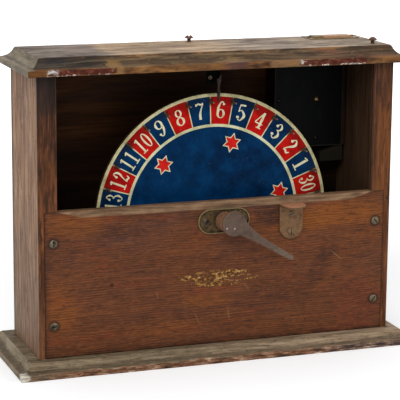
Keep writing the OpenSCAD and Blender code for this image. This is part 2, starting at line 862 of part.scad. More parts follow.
module stop_bracket() {
    color(bronze) in_case() translate([axis_x + stop_x, 0, 0]) difference() {
        union() {
            seen_from_front(-stop_t, 0) {
                translate([-stop_w / 2, lip_z - stop_h + lip_round])
                    square([stop_w, stop_h - lip_round]);
                translate([0, lip_z - stop_h + lip_round]) circle(lip_round);
            }
            translate([0, 0, lip_z - stop_t]) linear_extrude(stop_t) difference() {
                union() {
                    translate([-stop_w / 2, -lip_reach + lip_round])
                        square([stop_w, lip_reach - lip_round]);
                    translate([0, -lip_reach + lip_round]) circle(lip_round);
                }
                translate([-stop_w, 0]) square([2 * stop_w, stop_w]);
            }
        }
        for (dz = stop_screw_z) translate([0, 0, lip_z - dz])
            y_bar(stop_screw_r + snug, -stop_t - 1, 1);
    }
}

module lever_shaft() {
    color(steel) in_case() at_axis() y_bar(shaft_r, boss_front, arm_back);
}

module lever_boss() {
    color(bronze) in_case() at_axis() y_bar(boss_r, boss_front, panel_rim_y - 0.2, shaft_r + snug);
}

// Seen from the front, with the lever along X: a round head that runs into a long finger
module lever_outline() {
    tip = lever_tip_w / 2;
    low_edge = [[3, -6], [11.5, -4.6], [20, -4], [35, -3.2], [55, -2.8]];
    top_edge = [[55, 3], [35, 4], [22, 6.3], [14, 8.9], [8, 11.4], [0, lever_head_r + 1]];
    translate(lever_head_at) circle(lever_head_r);
    polygon(concat(
        low_edge,
        [[lever_len - tip, -tip], [lever_len - tip, tip]],
        top_edge
    ));
    translate([lever_len - tip, 0]) circle(tip);
}

module lever_handle() {
    color(steel) in_case() at_axis() rotate([0, lever_tilt, 0])
        seen_from_front(-lever_front, boss_front) difference() {
            lever_outline();
            for (at = lever_pin_at) translate(at) circle(lever_pin_r + snug);
        }
}

// Two bright pins through the lever into its boss
lever_pin_at = [[-2, -5], [4.9, -1.6]];
lever_pin_r = 1.1;

module lever_pins() {
    color("#c8c4bc") in_case() at_axis() rotate([0, lever_tilt, 0])
        for (at = lever_pin_at) translate([at[0], 0, at[1]])
            y_bar(lever_pin_r, -lever_front - 0.3, boss_front);
}

function polar(r, a) = [r * cos(a), r * sin(a)];

pawl_pin_at = polar(pawl_circle, pawl_arm_turn);
spring_stud_at = polar(spring_arm, -spring_arm_tilt);

// Crank on the lever's shaft: one arm carries the pawl, the other pulls the return spring
module drive_arm() {
    color(dark_steel) in_case() at_axis() {
        difference() {
            union() {
                y_bar(arm_hub_r, arm_front - 1, arm_back);
                seen_from_front(arm_front, arm_back) {
                    bar_between([0, 0], pawl_pin_at, 8);
                    translate(pawl_pin_at) circle(4);
                    bar_between([0, 0], spring_stud_at, 6);
                    translate(spring_stud_at) circle(3);
                }
                translate([spring_stud_at[0], 0, spring_stud_at[1]])
                    y_bar(spring_stud_r, spring_y - 1.2, arm_front + eps);
            }
            y_bar(shaft_r + snug, arm_front - 3, arm_back + 1);
            translate([pawl_pin_at[0], 0, pawl_pin_at[1]])
                y_bar(pawl_pin_r + snug, arm_front - 1, arm_back + 1);
        }
    }
}

module at_pawl_pin() {
    at_axis() translate([pawl_pin_at[0], 0, pawl_pin_at[1]]) children();
}

module pawl_pin() {
    color(steel) in_case() at_pawl_pin() y_bar(pawl_pin_r, arm_front, flange_y + 3.2);
}

// Drawn in mesh, with the axis at the origin and the pawl's pin on the X axis
module pawl_outline() {
    far = 3 * pawl_circle;
    difference() {
        union() {
            intersection() {
                difference() {
                    circle(pawl_outer);
                    circle(pawl_inner);
                }
                polygon([[0, 0], polar(far, nose_angle - 13), polar(far, -6)]);
            }
            polygon([
                polar(nose_r, nose_angle),
                polar(pawl_inner, nose_angle - 12),
                polar(pawl_inner + 0.5, nose_angle - 12),
                polar(pawl_inner + 0.5, nose_angle),
            ]);
            translate([pawl_circle, 0]) {
                circle(pawl_eye_r);
                bar_between([0, 0], polar(pawl_tail, pawl_tail_angle), 2 * tail_r);
                translate(polar(pawl_tail, pawl_tail_angle)) circle(tail_r);
            }
        }
        translate([pawl_circle, 0]) circle(pawl_pin_r + run);
    }
}

// At rest the pawl is turned out of the teeth and the arm points to its rest direction
module pawl_at_rest() {
    rotate(pawl_arm_turn) translate([pawl_circle, 0]) rotate(pawl_lift)
        translate([-pawl_circle, 0]) children();
}

module pawl() {
    color(steel) in_case() at_axis() seen_from_front(ratchet_y, flange_y) pawl_at_rest()
        pawl_outline();
}

// Turns of wire round the pin behind the pawl, with one leg along the tail
module pawl_spring() {
    inner = pawl_pin_r + 0.35;
    color(dark_steel) in_case() at_axis() seen_from_front(flange_y, flange_y + 2.4)
        pawl_at_rest() translate([pawl_circle, 0]) difference() {
            union() {
                circle(inner + 0.7);
                bar_between([0, 0], polar(pawl_tail, pawl_tail_angle), 0.8);
            }
            circle(inner);
        }
}

// A wire loop round a stud that lies along Y
module spring_eye(at_z) {
    translate([spring_x, spring_y, at_z]) facing_front()
        rotate_extrude($fn = 32) translate([spring_r - 0.1, 0]) circle(spring_wire / 2, $fn = 16);
}

module return_spring() {
    color(steel) in_case() {
        spring_eye(spring_top);
        spring_eye(spring_foot);
        translate([spring_x, spring_y, spring_foot + spring_r])
            cylinder(r = spring_r, h = spring_top - spring_foot - 2 * spring_r);
    }
}

module spring_post() {
    color(steel) in_case() translate([spring_x, 0, spring_foot])
        y_bar(spring_post_r, panel_t - 4.8, spring_y + 1.2);
}

// The throw-off pin meets the pawl's tail, and the rest pin meets the spring's arm
tail_rest = polar(pawl_circle, 0) + polar(pawl_tail, pawl_tail_angle + pawl_lift);
throw_reach = tail_r + throw_pin_r + air;
throw_pin_arm = tail_rest + polar(throw_reach, pawl_tail_angle + pawl_lift - 90);
throw_pin_at = [
    throw_pin_arm[0] * cos(pawl_arm_turn) - throw_pin_arm[1] * sin(pawl_arm_turn),
    throw_pin_arm[0] * sin(pawl_arm_turn) + throw_pin_arm[1] * cos(pawl_arm_turn),
];
rest_pin_drop = 3 + air + stop_pin_r;
rest_pin_at = polar(14, -spring_arm_tilt) + polar(rest_pin_drop, -spring_arm_tilt - 90);
panel_pin_at = [
    [throw_pin_at[0], throw_pin_at[1], throw_pin_r],
    [rest_pin_at[0], rest_pin_at[1], stop_pin_r],
    [spring_x - axis_x, -spring_drop, spring_post_r],
];

module stop_pins() {
    color(steel) in_case() at_axis() {
        translate([throw_pin_at[0], 0, throw_pin_at[1]])
            y_bar(throw_pin_r, panel_t - 4.8, flange_y);
        translate([rest_pin_at[0], 0, rest_pin_at[1]])
            y_bar(stop_pin_r, panel_t - 4.8, arm_back);
    }
}

pointer_pin_x = axis_x + pointer_x;
pointer_left = pointer_pin_x - pointer_leg_left;
pointer_rivet_at = [pointer_pin_x - 8.6, pointer_pin_z + 2.6];
pointer_screw_at = [for (y = [0.3, 0.75])
    [pointer_left + pointer_leg[0] / 2, pointer_leg_y + pointer_leg_t + y * pointer_flange]];

module pointer_bracket() {
    left = pointer_left;
    color(dark_steel) in_case() difference() {
        union() {
            translate([left, pointer_leg_y, cab_h - pointer_leg[1]])
                cube([pointer_leg[0], pointer_leg_t, pointer_leg[1]]);
            translate([left, pointer_leg_y, cab_h - pointer_leg_t])
                cube([pointer_leg[0], pointer_leg_t + pointer_flange, pointer_leg_t]);
        }
        for (at = [[pointer_pin_x, pointer_pin_z], pointer_rivet_at]) translate([at[0], 0, at[1]])
            y_bar(pointer_pin_r + snug, pointer_leg_y - 1, pointer_leg_y + pointer_leg_t + 1);
        for (at = pointer_screw_at) translate([at[0], at[1], cab_h - pointer_leg_t - 1])
            cylinder(r = pointer_screw_r + snug, h = pointer_leg_t + 2);
    }
}

module pointer_bracket_screws() {
    color(bronze) in_case() for (at = pointer_screw_at)
        translate([at[0], at[1], cab_h - pointer_leg_t]) facing_down()
            dome_screw(pointer_screw_head_r, 1.4, pointer_screw_r, pointer_leg_t + 8.5, 0.8);
}

// One pin carries the pointer behind its head; the other is a round stud beside it
module pointer_pins() {
    color(brass) in_case() {
        translate([pointer_pin_x, 0, pointer_pin_z]) {
            y_bar(pointer_pin_r, pointer_y - 1, pointer_leg_y + pointer_leg_t);
            y_bar(pointer_pin_r + 0.8, pointer_y - 1.2, pointer_y - air);
        }
        translate([pointer_rivet_at[0], 0, pointer_rivet_at[1]]) {
            y_bar(pointer_pin_r, pointer_leg_y - 1, pointer_leg_y + pointer_leg_t);
            y_bar(pointer_pin_r + 1, pointer_leg_y - 1.4, pointer_leg_y);
        }
    }
}

module pointer_finger() {
    tip = pointer_tip_r;
    half = pointer_w / 2;
    color(dark_steel) in_case() translate([pointer_pin_x, 0, pointer_pin_z])
        seen_from_front(pointer_y, pointer_y + pointer_t) difference() {
            union() {
                circle(half);
                polygon([[half, 0], [-half, 0], [-1, -7], [-1.6, -11], [-tip, -pointer_len],
                         [tip, -pointer_len], [1.9, -11], [1.2, -7]]);
                polygon([[0, half * 0.9], [half, 0], [half + 0.6, 5], [half - 0.6, 5.4]]);
                translate([0, -pointer_len]) circle(tip, $fn = 24);
            }
            circle(pointer_pin_r + run);
        }
}

// A flat brass plate with a raised middle round the coin slot
module coin_slot_plate() {
    color(brass) in_case() translate([coin_x, coin_y, top_z]) difference() {
        union() {
            translate([-slot_plate[0] / 2, -slot_plate[1] / 2, 0])
                cube([slot_plate[0], slot_plate[1], slot_plate_t]);
            translate([-slot_boss[0] / 2, -slot_boss[1] / 2, 0])
                cube([slot_boss[0], slot_boss[1], slot_plate_t + slot_boss_h]);
        }
        translate([-coin_w / 2, -coin_gap / 2, -1]) cube([coin_w, coin_gap, 10]);
        for (x = [-1, 1]) translate([x * (slot_plate[0] / 2 - 3), 0, -1])
            cylinder(r = coin_screw_r + snug, h = 10);
    }
}

module coin_slot_screws() {
    color(bronze) in_case() for (at = slot_screw_at)
        translate([at[0], at[1], top_z + slot_plate_t])
            dome_screw(coin_screw_head_r, 1.3, coin_screw_r, slot_plate_t + coin_screw_bite, 0.8, at[0]);
}

module coin_partition() {
    color(inner_wood) in_case() translate([cover_x, cover_y + cover_t, chute_bottom - 30])
        difference() {
            cube([partition_t, cab_d - cover_y - cover_t, cab_h - chute_bottom + 30]);
            translate([partition_t / 2, -1, 0]) for (z = cover_screw_z)
                translate([0, 0, z - chute_bottom + 30]) facing_back()
                    cylinder(r = coin_screw_r + snug, h = 9);
        }
}

// A block of wood behind the cover with the coin's way cut through it
module coin_chute() {
    color("#8a6a48") in_case() difference() {
        translate([chute_x, cover_y + cover_t, chute_bottom])
            cube([chute_w, cab_d - cover_y - cover_t, cover_h]);
        translate([coin_x - coin_w / 2, coin_y - coin_gap / 2, chute_bottom - 1])
            cube([coin_w, coin_gap, cover_h + 2]);
        translate([chute_x - 1, coin_y - coin_gap / 2, trip_z - trip_notch])
            cube([12, coin_gap, trip_notch + trip_bar / 2 + air]);
        for (z = cover_screw_z) translate([cover_screw_x, cover_y, z]) facing_back()
            cylinder(r = coin_screw_r + snug, h = 6);
    }
}

module coin_cover() {
    color("#15171b") in_case() difference() {
        translate([cover_x, cover_y, chute_bottom]) cube([cover_w, cover_t, cover_h]);
        for (x = [cover_x + partition_t / 2, cover_screw_x], z = cover_screw_z)
            translate([x, cover_y - 1, z]) facing_back()
                cylinder(r = coin_screw_r + snug, h = cover_t + 2);
    }
}

module coin_cover_screws() {
    color(brass) in_case() for (x = [cover_x + partition_t / 2, cover_screw_x], z = cover_screw_z)
        translate([x, cover_y, z]) facing_front()
            dome_screw(coin_screw_head_r, 1.2, coin_screw_r, cover_t + 4.8, 0.8, 80 * z);
}

// A coin presses the long end down; the round weight brings it back
module coin_trip() {
    color(brass) in_case() translate([trip_x, 0, trip_z])
        seen_from_front(coin_y - trip_t / 2, coin_y + trip_t / 2) difference() {
            union() {
                circle(3.2);
                bar_between([0, 0], [trip_len, 0], trip_bar);
                translate([trip_len, 0]) circle(trip_bar / 2);
                bar_between([0, 0], [trip_weight_x, 0], trip_bar);
                translate([trip_weight_x, 0]) circle(trip_weight_r);
            }
            circle(trip_pin_r + run);
        }
}

module coin_trip_pin() {
    color(steel) in_case() translate([trip_x, 0, trip_z]) {
        y_bar(trip_pin_r, coin_y - trip_t / 2 - 1.5, cab_d + 5.8);
        y_bar(trip_pin_r + 1, coin_y - trip_t / 2 - 1.5, coin_y - trip_t / 2 - air);
        y_bar(trip_pin_r + 1.6, coin_y + trip_t / 2 + air, cab_d);
    }
}

module deflector_block() {
    color("#8a6a48") in_case() seen_from_front(cover_y + cover_t, cab_d)
        translate([deflector_x, deflector_z])
            polygon([[0, 0], [deflector_w, 0], [deflector_w, deflector_h],
                     [deflector_w * 0.7, deflector_h], [0, deflector_h * 0.65]]);
}

module cash_tray() {
    color(inner_wood) in_case() translate([tray_x, tray_y, 0]) difference() {
        cube([tray_size[0], tray_size[1], tray_h]);
        translate([tray_wall, tray_wall, tray_wall])
            cube([tray_size[0] - 2 * tray_wall, tray_size[1] - 2 * tray_wall, tray_h]);
    }
}

module cash_door() {
    color(oak) in_case() difference() {
        translate([door_left + door_gap, cab_d, door_z + door_gap])
            cube([door_w - 2 * door_gap, back_t, door_h - 2 * door_gap]);
        translate([lock_x, cab_d - 1, lock_z]) facing_back()
            cylinder(r = lock_r + snug, h = back_t + 2);
        for (z = hinge_z, dz = [4, hinge_h - 4])
            translate([hinge_x - leaf_w + 4, back_y - hinge_screw_len, z + dz]) facing_back()
                cylinder(r = hinge_screw_r + snug, h = back_t);
    }
}

// One leaf of each hinge: side is 1 towards +X; its knuckles fill the listed thirds
module hinge_leaf(side, thirds) {
    step = hinge_h / 3;
    difference() {
        union() {
            translate([side > 0 ? 0 : -leaf_w, 0, 0]) cube([leaf_w, leaf_t, hinge_h]);
            translate([0, knuckle_y, 0]) cylinder(r = knuckle_r, h = hinge_h);
        }
        translate([0, knuckle_y, -1]) cylinder(r = hinge_pin_r + run, h = hinge_h + 2);
        for (i = [0 : 2]) if (len([for (k = thirds) if (k == i) k]) == 0)
            translate([-knuckle_r - air, -1, step * i - 0.1])
                cube([2 * (knuckle_r + air), 2 * knuckle_y + 2, step + 0.2]);
        for (dz = [4, hinge_h - 4]) translate([side * (leaf_w - 4), -1, dz]) facing_back()
            cylinder(r = hinge_screw_r + snug, h = leaf_t + 2);
    }
}

module hinge_frame_leaves() {
    color(brass) in_case() for (z = hinge_z) translate([hinge_x, back_y, z])
        hinge_leaf(1, [0, 2]);
}

module hinge_door_leaves() {
    color(brass) in_case() for (z = hinge_z) translate([hinge_x, back_y, z])
        hinge_leaf(-1, [1]);
}

module hinge_pins() {
    color(steel) in_case() for (z = hinge_z) translate([hinge_x, hinge_y, z - 0.6]) {
        cylinder(r = hinge_pin_r, h = hinge_h + 1.2);
        cylinder(r = hinge_pin_r + 0.6, h = 0.6);
        translate([0, 0, hinge_h + 0.6]) cylinder(r = hinge_pin_r + 0.6, h = 0.6);
    }
}

// Screws of one row of leaves: side is 1 for the frame's leaves and -1 for the door's
module hinge_screws(side) {
    for (z = hinge_z, dz = [4, hinge_h - 4])
        translate([hinge_x + side * (leaf_w - 4), back_y + leaf_t, z + dz]) facing_back()
            dome_screw(hinge_screw_head_r, 1, hinge_screw_r, hinge_screw_len + leaf_t - 0.2, 0.7,
                       30 * dz);
}

module hinge_frame_screws() {
    color(brass) in_case() hinge_screws(1);
}

module hinge_door_screws() {
    color(brass) in_case() hinge_screws(-1);
}

module lock_body() {
    color(brass) in_case() translate([lock_x, 0, lock_z]) difference() {
        union() {
            y_bar(lock_r, cam_y + cam_t + air, back_y + lock_flange_t);
            y_bar(lock_r + 1.8, back_y, back_y + lock_flange_t);
        }
        y_bar(plug_r + run, cam_y, back_y + lock_flange_t + 1);
    }
}

// The plug turns in the lock's body; its cam stands upright when the door is unlocked
module lock_cam() {
    color(steel) in_case() translate([lock_x, 0, lock_z]) difference() {
        union() {
            y_bar(plug_r, cam_y, back_y + lock_flange_t - 0.2);
            seen_from_front(cam_y, cam_y + cam_t) {
                bar_between([0, 0], [0, cam_len - 3], 6);
                translate([0, cam_len - 3]) circle(3);
                circle(plug_r + 1);
            }
        }
        translate([-0.5, back_y - 3, -2.4]) cube([1, 6, 4.8]);
    }
}

base_board();
base_back_strip();
top_board();
left_side();
right_side();
front_panel();
back_panel();
front_panel_screws();
base_screws();
back_panel_screws();
top_screws();
wheel_disc();
dial_face();
wheel_pegs();
wheel_hub();
hub_plate();
hub_screws();
ratchet_wheel();
ratchet_rivets();
axle();
axle_screw();
axle_bracket();
axle_bracket_screws();
escutcheon();
stop_bracket();
hardware_screws();
shaft_bushing();
lever_shaft();
lever_boss();
lever_handle();
lever_pins();
drive_arm();
pawl_pin();
pawl();
pawl_spring();
return_spring();
spring_post();
stop_pins();
pointer_bracket();
pointer_bracket_screws();
pointer_pins();
pointer_finger();
coin_slot_plate();
coin_slot_screws();
coin_partition();
coin_chute();
coin_cover();
coin_cover_screws();
coin_trip();
coin_trip_pin();
deflector_block();
cash_tray();
cash_door();
hinge_frame_leaves();
hinge_door_leaves();
hinge_pins();
hinge_frame_screws();
hinge_door_screws();
lock_body();
lock_cam();
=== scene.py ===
# %% [markdown]
# A counter-top trade stimulator: an oak case with an open window, and behind it a printed wheel
# that a lever spins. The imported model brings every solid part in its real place. This lesson
# dresses those parts: it rounds worn edges, winds the springs, prints the dial and mixes the
# finishes of old oak, brass and steel.

# %% Load the frame
import math

import bmesh
import bpy
import numpy as np
from mathutils import Matrix, Vector


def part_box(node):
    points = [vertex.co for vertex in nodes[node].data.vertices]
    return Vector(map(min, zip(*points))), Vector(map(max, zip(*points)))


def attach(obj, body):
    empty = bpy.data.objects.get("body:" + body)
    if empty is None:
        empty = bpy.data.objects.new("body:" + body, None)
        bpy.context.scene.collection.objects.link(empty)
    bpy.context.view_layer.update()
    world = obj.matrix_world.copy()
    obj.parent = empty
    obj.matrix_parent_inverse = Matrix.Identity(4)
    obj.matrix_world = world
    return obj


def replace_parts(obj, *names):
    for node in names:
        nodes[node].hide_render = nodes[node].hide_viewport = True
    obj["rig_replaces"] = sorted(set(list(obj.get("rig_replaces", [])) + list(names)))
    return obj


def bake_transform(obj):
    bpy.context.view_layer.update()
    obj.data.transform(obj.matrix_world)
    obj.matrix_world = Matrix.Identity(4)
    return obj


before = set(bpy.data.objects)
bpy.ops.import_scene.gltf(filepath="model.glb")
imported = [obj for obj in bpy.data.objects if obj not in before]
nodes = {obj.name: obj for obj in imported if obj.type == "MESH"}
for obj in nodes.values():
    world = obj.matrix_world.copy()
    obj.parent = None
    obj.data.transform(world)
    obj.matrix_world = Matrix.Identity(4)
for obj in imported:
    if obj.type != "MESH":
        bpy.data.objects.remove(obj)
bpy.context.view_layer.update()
MM = 0.001

# %% [markdown]
# Some places come back again and again: the case's front plane, the wheel's axis, the corners
# of the window. They are read from the model, so that a change there moves the paint as well.


# %% Places that the finishes need
def middle(node):
    """Centre of the box round a node."""
    return [(a + b) / 2 for a, b in zip(*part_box(node))]


panel_low, panel_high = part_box("front_panel")
left_low, left_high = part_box("left_side")
right_low, right_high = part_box("right_side")
top_low, top_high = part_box("top_board")
base_low, base_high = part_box("base_board")
back_low, back_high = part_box("back_panel")
dial_low, dial_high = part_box("dial_face")
FRONT_Y = panel_low[1]
CASE_LEFT = left_low[0]
CASE_RIGHT = right_high[0]
AXIS_X, _, AXIS_Z = middle("dial_face")
DIAL_Y = dial_low[1]
WHEEL_R = (dial_high[0] - dial_low[0]) / 2
print("wheel radius", round(WHEEL_R, 4), "axis", round(AXIS_X, 4), round(AXIS_Z, 4))

# %% [markdown]
# The photograph was taken with a long lens from the left and a little above. Matching the
# case's corners in it gives the camera's place, its two angles, a tiny roll and its focal length.

# %% Camera
CAMERA_AT = Vector((-0.5786, -1.5927, 0.5051))
YAW, PITCH, ROLL = 0.34715, 0.20958, 0.00759
SENSOR_MM = 36.0
FOCAL_IN_PICTURES = 1780 / 400

forward = Vector((math.sin(YAW) * math.cos(PITCH), math.cos(YAW) * math.cos(PITCH),
                  -math.sin(PITCH)))
level = Vector((math.cos(YAW), -math.sin(YAW), 0.0))
upright = level.cross(forward)
right = math.cos(ROLL) * level + math.sin(ROLL) * upright
up = math.cos(ROLL) * upright - math.sin(ROLL) * level
camera_data = bpy.data.cameras.new("photo_camera")
camera_data.sensor_width = SENSOR_MM
camera_data.lens = FOCAL_IN_PICTURES * SENSOR_MM
camera_data.clip_start = 0.05
camera = bpy.data.objects.new("photo_camera", camera_data)
camera.matrix_world = Matrix((
    (right.x, up.x, -forward.x, CAMERA_AT.x),
    (right.y, up.y, -forward.y, CAMERA_AT.y),
    (right.z, up.z, -forward.z, CAMERA_AT.z),
    (0.0, 0.0, 0.0, 1.0),
))
bpy.context.scene.collection.objects.link(camera)
bpy.context.scene.camera = camera
print("lens", round(camera_data.lens, 1), "mm")

# %% [markdown]
# Colours are written as they look on a screen, in hex. Blender's nodes count in linear light,
# so one small function turns the first into the second.


# %% Colour from a hex word
def colour(word):
    """Linear red, green, blue: ((c + 0.055) / 1.055) to the power 2.4 for each channel c."""
    channels = [int(word[i:i + 2], 16) / 255 for i in (0, 2, 4)]
    linear = [c / 12.92 if c <= 0.04045 else ((c + 0.055) / 1.055) ** 2.4 for c in channels]
    return (*linear, 1.0)


print("middle grey:", colour("808080"))

# %% [markdown]
# Floor, sky and finishes are all small trees of nodes. Wiring each node by hand hides the idea,
# so one function adds a node, fills its inputs and hands back its output. What it returns can go
# straight into the next node.


# %% Add one node
def fill(tree, socket, value):
    """Links the value to the socket if it is a socket too, or else types it in."""
    if isinstance(value, bpy.types.NodeSocket):
        tree.links.new(value, socket)
    else:
        socket.default_value = value


def add_node(tree, kind, values, output=0, **settings):
    """A node with its settings made and its inputs filled; returns the chosen output."""
    made = tree.nodes.new(kind)
    for name, setting in settings.items():
        setattr(made, name, setting)
    for key, value in values.items():
        fill(tree, made.inputs[key], value)
    return made.outputs[output]


print("nodes can be added")

# %% [markdown]
# With that, a finish reads like a formula: noise along the grain, a mask round a screw, a mix of
# two colours. Each method below is one word of this language.


# %% A helper that writes finishes as formulas
class Finish:
    """One material. Each method adds nodes and returns the socket that they give."""

    BUMP_STRENGTH = 0.7

    def __init__(self, name, roughness=0.5, metallic=0.0, coat=0.0, coat_roughness=0.2,
                 specular=0.5):
        self.material = bpy.data.materials.new(name)
        self.material.use_nodes = True
        self.tree = self.material.node_tree
        self.tree.nodes.clear()
        self.shader = self.tree.nodes.new("ShaderNodeBsdfPrincipled")
        output = self.tree.nodes.new("ShaderNodeOutputMaterial")
        self.tree.links.new(self.shader.outputs[0], output.inputs[0])
        coordinates = self.tree.nodes.new("ShaderNodeTexCoord")
        self.place = coordinates.outputs["Object"]
        self.facing = coordinates.outputs["Normal"]
        for socket, value in (("Metallic", metallic), ("Roughness", roughness),
                              ("Coat Weight", coat), ("Coat Roughness", coat_roughness),
                              ("Specular IOR Level", specular)):
            self.shader.inputs[socket].default_value = value
        self.x, self.y, self.z = self.split(self.place)
        self.nx, self.ny, self.nz = self.split(self.facing)

    def put(self, socket, value):
        """Fills one input of a node that is already there."""
        fill(self.tree, socket, value)

    def node(self, kind, values, output=0, **settings):
        """Adds any kind of node."""
        return add_node(self.tree, kind, values, output, **settings)

    def split(self, vector):
        """The three numbers of a vector."""
        made = self.tree.nodes.new("ShaderNodeSeparateXYZ")
        self.put(made.inputs[0], vector)
        return made.outputs[0], made.outputs[1], made.outputs[2]

    def math(self, operation, a, b=0.0):
        """Any operation on one or two numbers; the next four have names of their own."""
        return self.node("ShaderNodeMath", {0: a, 1: b}, operation=operation)

    def sum(self, a, b):
        return self.math("ADD", a, b)

    def minus(self, a, b):
        return self.math("SUBTRACT", a, b)

    def times(self, a, b):
        return self.math("MULTIPLY", a, b)

    def most(self, a, b):
        return self.math("MAXIMUM", a, b)

    def step(self, value, low, high, start=0.0, end=1.0):
        """Smooth rise from start to end while value goes from low to high; low may be above."""
        if low > high:
            low, high, start, end = high, low, end, start
        return self.node("ShaderNodeMapRange",
                         {"Value": value, "From Min": low, "From Max": high,
                          "To Min": start, "To Max": end}, interpolation_type="SMOOTHSTEP")

    def band(self, value, low, high, soft):
        """1 between low and high, and 0 outside them, with edges as wide as soft."""
        return self.times(self.step(value, low - soft / 2, low + soft / 2),
                          self.step(value, high + soft / 2, high - soft / 2))

    def noise(self, scale, detail=3.0, roughness=0.55, move=(0.0, 0.0, 0.0)):
        """Noise with so many waves to the metre; three numbers stretch it along the axes."""
        if isinstance(scale, (int, float)):
            scale = (scale, scale, scale)
        moved = self.node("ShaderNodeMapping",
                          {"Vector": self.place, "Scale": scale, "Location": move})
        return self.node("ShaderNodeTexNoise", {"Vector": moved, "Scale": 1.0, "Detail": detail,
                                                "Roughness": roughness})

    def mix(self, share, a, b):
        """Goes from colour a to colour b as the share goes from 0 to 1."""
        return self.node("ShaderNodeMix", {0: share, 6: a, 7: b}, output=2, data_type="RGBA")

    def lay(self, base, mask, share, word):
        """Lays one more colour over the base where the mask is 1, at the given share."""
        return self.mix(self.times(mask, share), base, colour(word))

    def ramp(self, value, *stops):
        """Colour ramp; each stop is a place from 0 to 1 and a hex word."""
        made = self.tree.nodes.new("ShaderNodeValToRGB")
        marks = made.color_ramp.elements
        while len(marks) < len(stops):
            marks.new(0.5)
        for mark, (at, word) in zip(marks, stops):
            mark.position = at
            mark.color = colour(word)
        self.put(made.inputs[0], value)
        return made.outputs[0]

    def blob(self, x, z, width, height, turn=0.0, ragged=0.35, soft=0.6):
        """A soft oval stain on a face that looks along Y, with its edge broken up by noise."""
        dx, dz = self.minus(self.x, x), self.minus(self.z, z)
        c, s = math.cos(turn), math.sin(turn)
        along = self.sum(self.times(dx, c / width), self.times(dz, s / width))
        across = self.sum(self.times(dx, -s / height), self.times(dz, c / height))
        reach = self.math("SQRT", self.sum(self.times(along, along),
                                           self.times(across, across)))
        rough = self.noise((30, 30, 60), 4, 0.6, move=(x * 90, 0, z * 70))
        reach = self.sum(reach, self.times(self.minus(rough, 0.5), 2 * ragged))
        return self.step(reach, 1 + soft / 2, 1 - soft / 2)

    def say(self, what):
        """Prints what has just been added."""
        print(f"{self.material.name}: {what}, {len(self.tree.nodes)} nodes")

    def close(self, base, height, depth, roughness):
        """Joins the colour, the bump's height and the roughness to the shader."""
        self.put(self.shader.inputs["Base Color"], base)
        self.put(self.shader.inputs["Roughness"], roughness)
        bump = self.node("ShaderNodeBump", {"Height": height, "Strength": self.BUMP_STRENGTH,
                                            "Distance": depth})
        self.put(self.shader.inputs["Normal"], bump)
        return self.material


print("the finish helper is ready")

# %% [markdown]
# Oak is recognised by its pores: thin dark dashes that run with the grain, over slower waves of
# lighter and darker wood. Noise that is stretched ten or twenty times along one axis gives both.
# Every board uses the same function with its own direction, so that the boards belong together.


# %% Oak grain
def oak_grain(finish, along, waves=1.0, seed=0.0):
    """Three heights from 0 to 1: slow figure, fine streaks and pores. along is 0, 1 or 2."""
    def lengthwise(short, long):
        scale = [long, long, long]
        scale[along] = short
        return tuple(scale)

    sway = finish.noise(lengthwise(5, 14), 2, 0.5, move=(seed, seed, seed))
    push = finish.node("ShaderNodeVectorMath",
                       {0: finish.node("ShaderNodeCombineXYZ", {0: sway, 1: sway, 2: sway}),
                        "Scale": 0.02}, operation="SCALE")
    moved = finish.node("ShaderNodeVectorMath", {0: finish.place, 1: push}, operation="ADD")

    def grain_noise(short, long, detail, rough):
        vector = finish.node("ShaderNodeMapping",
                             {"Vector": moved, "Scale": lengthwise(short * waves, long * waves),
                              "Location": (seed * 7, seed * 3, seed * 5)})
        return finish.node("ShaderNodeTexNoise", {"Vector": vector, "Scale": 1.0,
                                                  "Detail": detail, "Roughness": rough})

    figure = grain_noise(4, 60, 3, 0.5)
    streaks = grain_noise(22, 470, 2, 0.55)
    pores = grain_noise(60, 820, 2, 0.5)
    return figure, streaks, pores


def ripples(finish, period, seed):
    """Wavy rows along X, as the saw and the slow growth leave them: the sine of the height,
    bent by slow noise and broken up by a quicker one; 1 in the rows, else 0."""
    slow, quick = (7.0, 26.0, 26.0), (62.0, 230.0, 230.0)
    bend_turns, gap_depth, row_from, row_full = 34.0, 5.2, 2.5, 3.9
    bend = finish.noise(slow, 2, 0.5, move=(seed, 2 * seed, 3 * seed))
    phase = finish.sum(finish.times(finish.z, 2 * math.pi / period),
                       finish.times(bend, bend_turns))
    gaps = finish.noise(quick, 3, 0.6, move=(seed, seed, 1))
    wave = finish.sum(finish.math("SINE", phase), finish.times(gaps, gap_depth))
    return finish.step(wave, row_from, row_full)


def wear_marks(finish, turn, seed):
    """Dark nicks, and pale scratches in two slanting directions; turn is the axis (0, 1 or 2)
    about which the scratches slant. Both run from 0 to 1. A scratch is a crest of noise with 16
    waves to the metre along it and 700 across."""
    nick_from, nick_full = 0.665, 0.70
    scratch_from, scratch_full = 0.70, 0.74
    nicks = finish.noise(120, 4, 0.65, move=(seed, 3, seed))
    lines = []
    for lean, where in ((0.55, 3.0), (-0.9, 11.0)):
        rotation = [0.0, 0.0, 0.0]
        rotation[turn] = lean
        vector = finish.node("ShaderNodeMapping",
                             {"Vector": finish.place, "Rotation": tuple(rotation),
                              "Location": (0.1 * where, 0.1 * seed, 0.07 * where),
                              "Scale": (1 / 16, 1 / 700, 1 / 700)}, vector_type="TEXTURE")
        crests = finish.node("ShaderNodeTexNoise", {"Vector": vector, "Scale": 1.0,
                                                    "Detail": 2.0, "Roughness": 0.5})
        lines.append(finish.step(crests, scratch_from, scratch_full))
    return finish.step(nicks, nick_from, nick_full), finish.most(lines[0], lines[1])


print("oak grain is ready")

# %% [markdown]
# New pieces are worked out with numpy as grids of points. Each grid becomes a skin of four-sided
# faces, and a grid that is closed across joins its last column to its first, as a tube does.


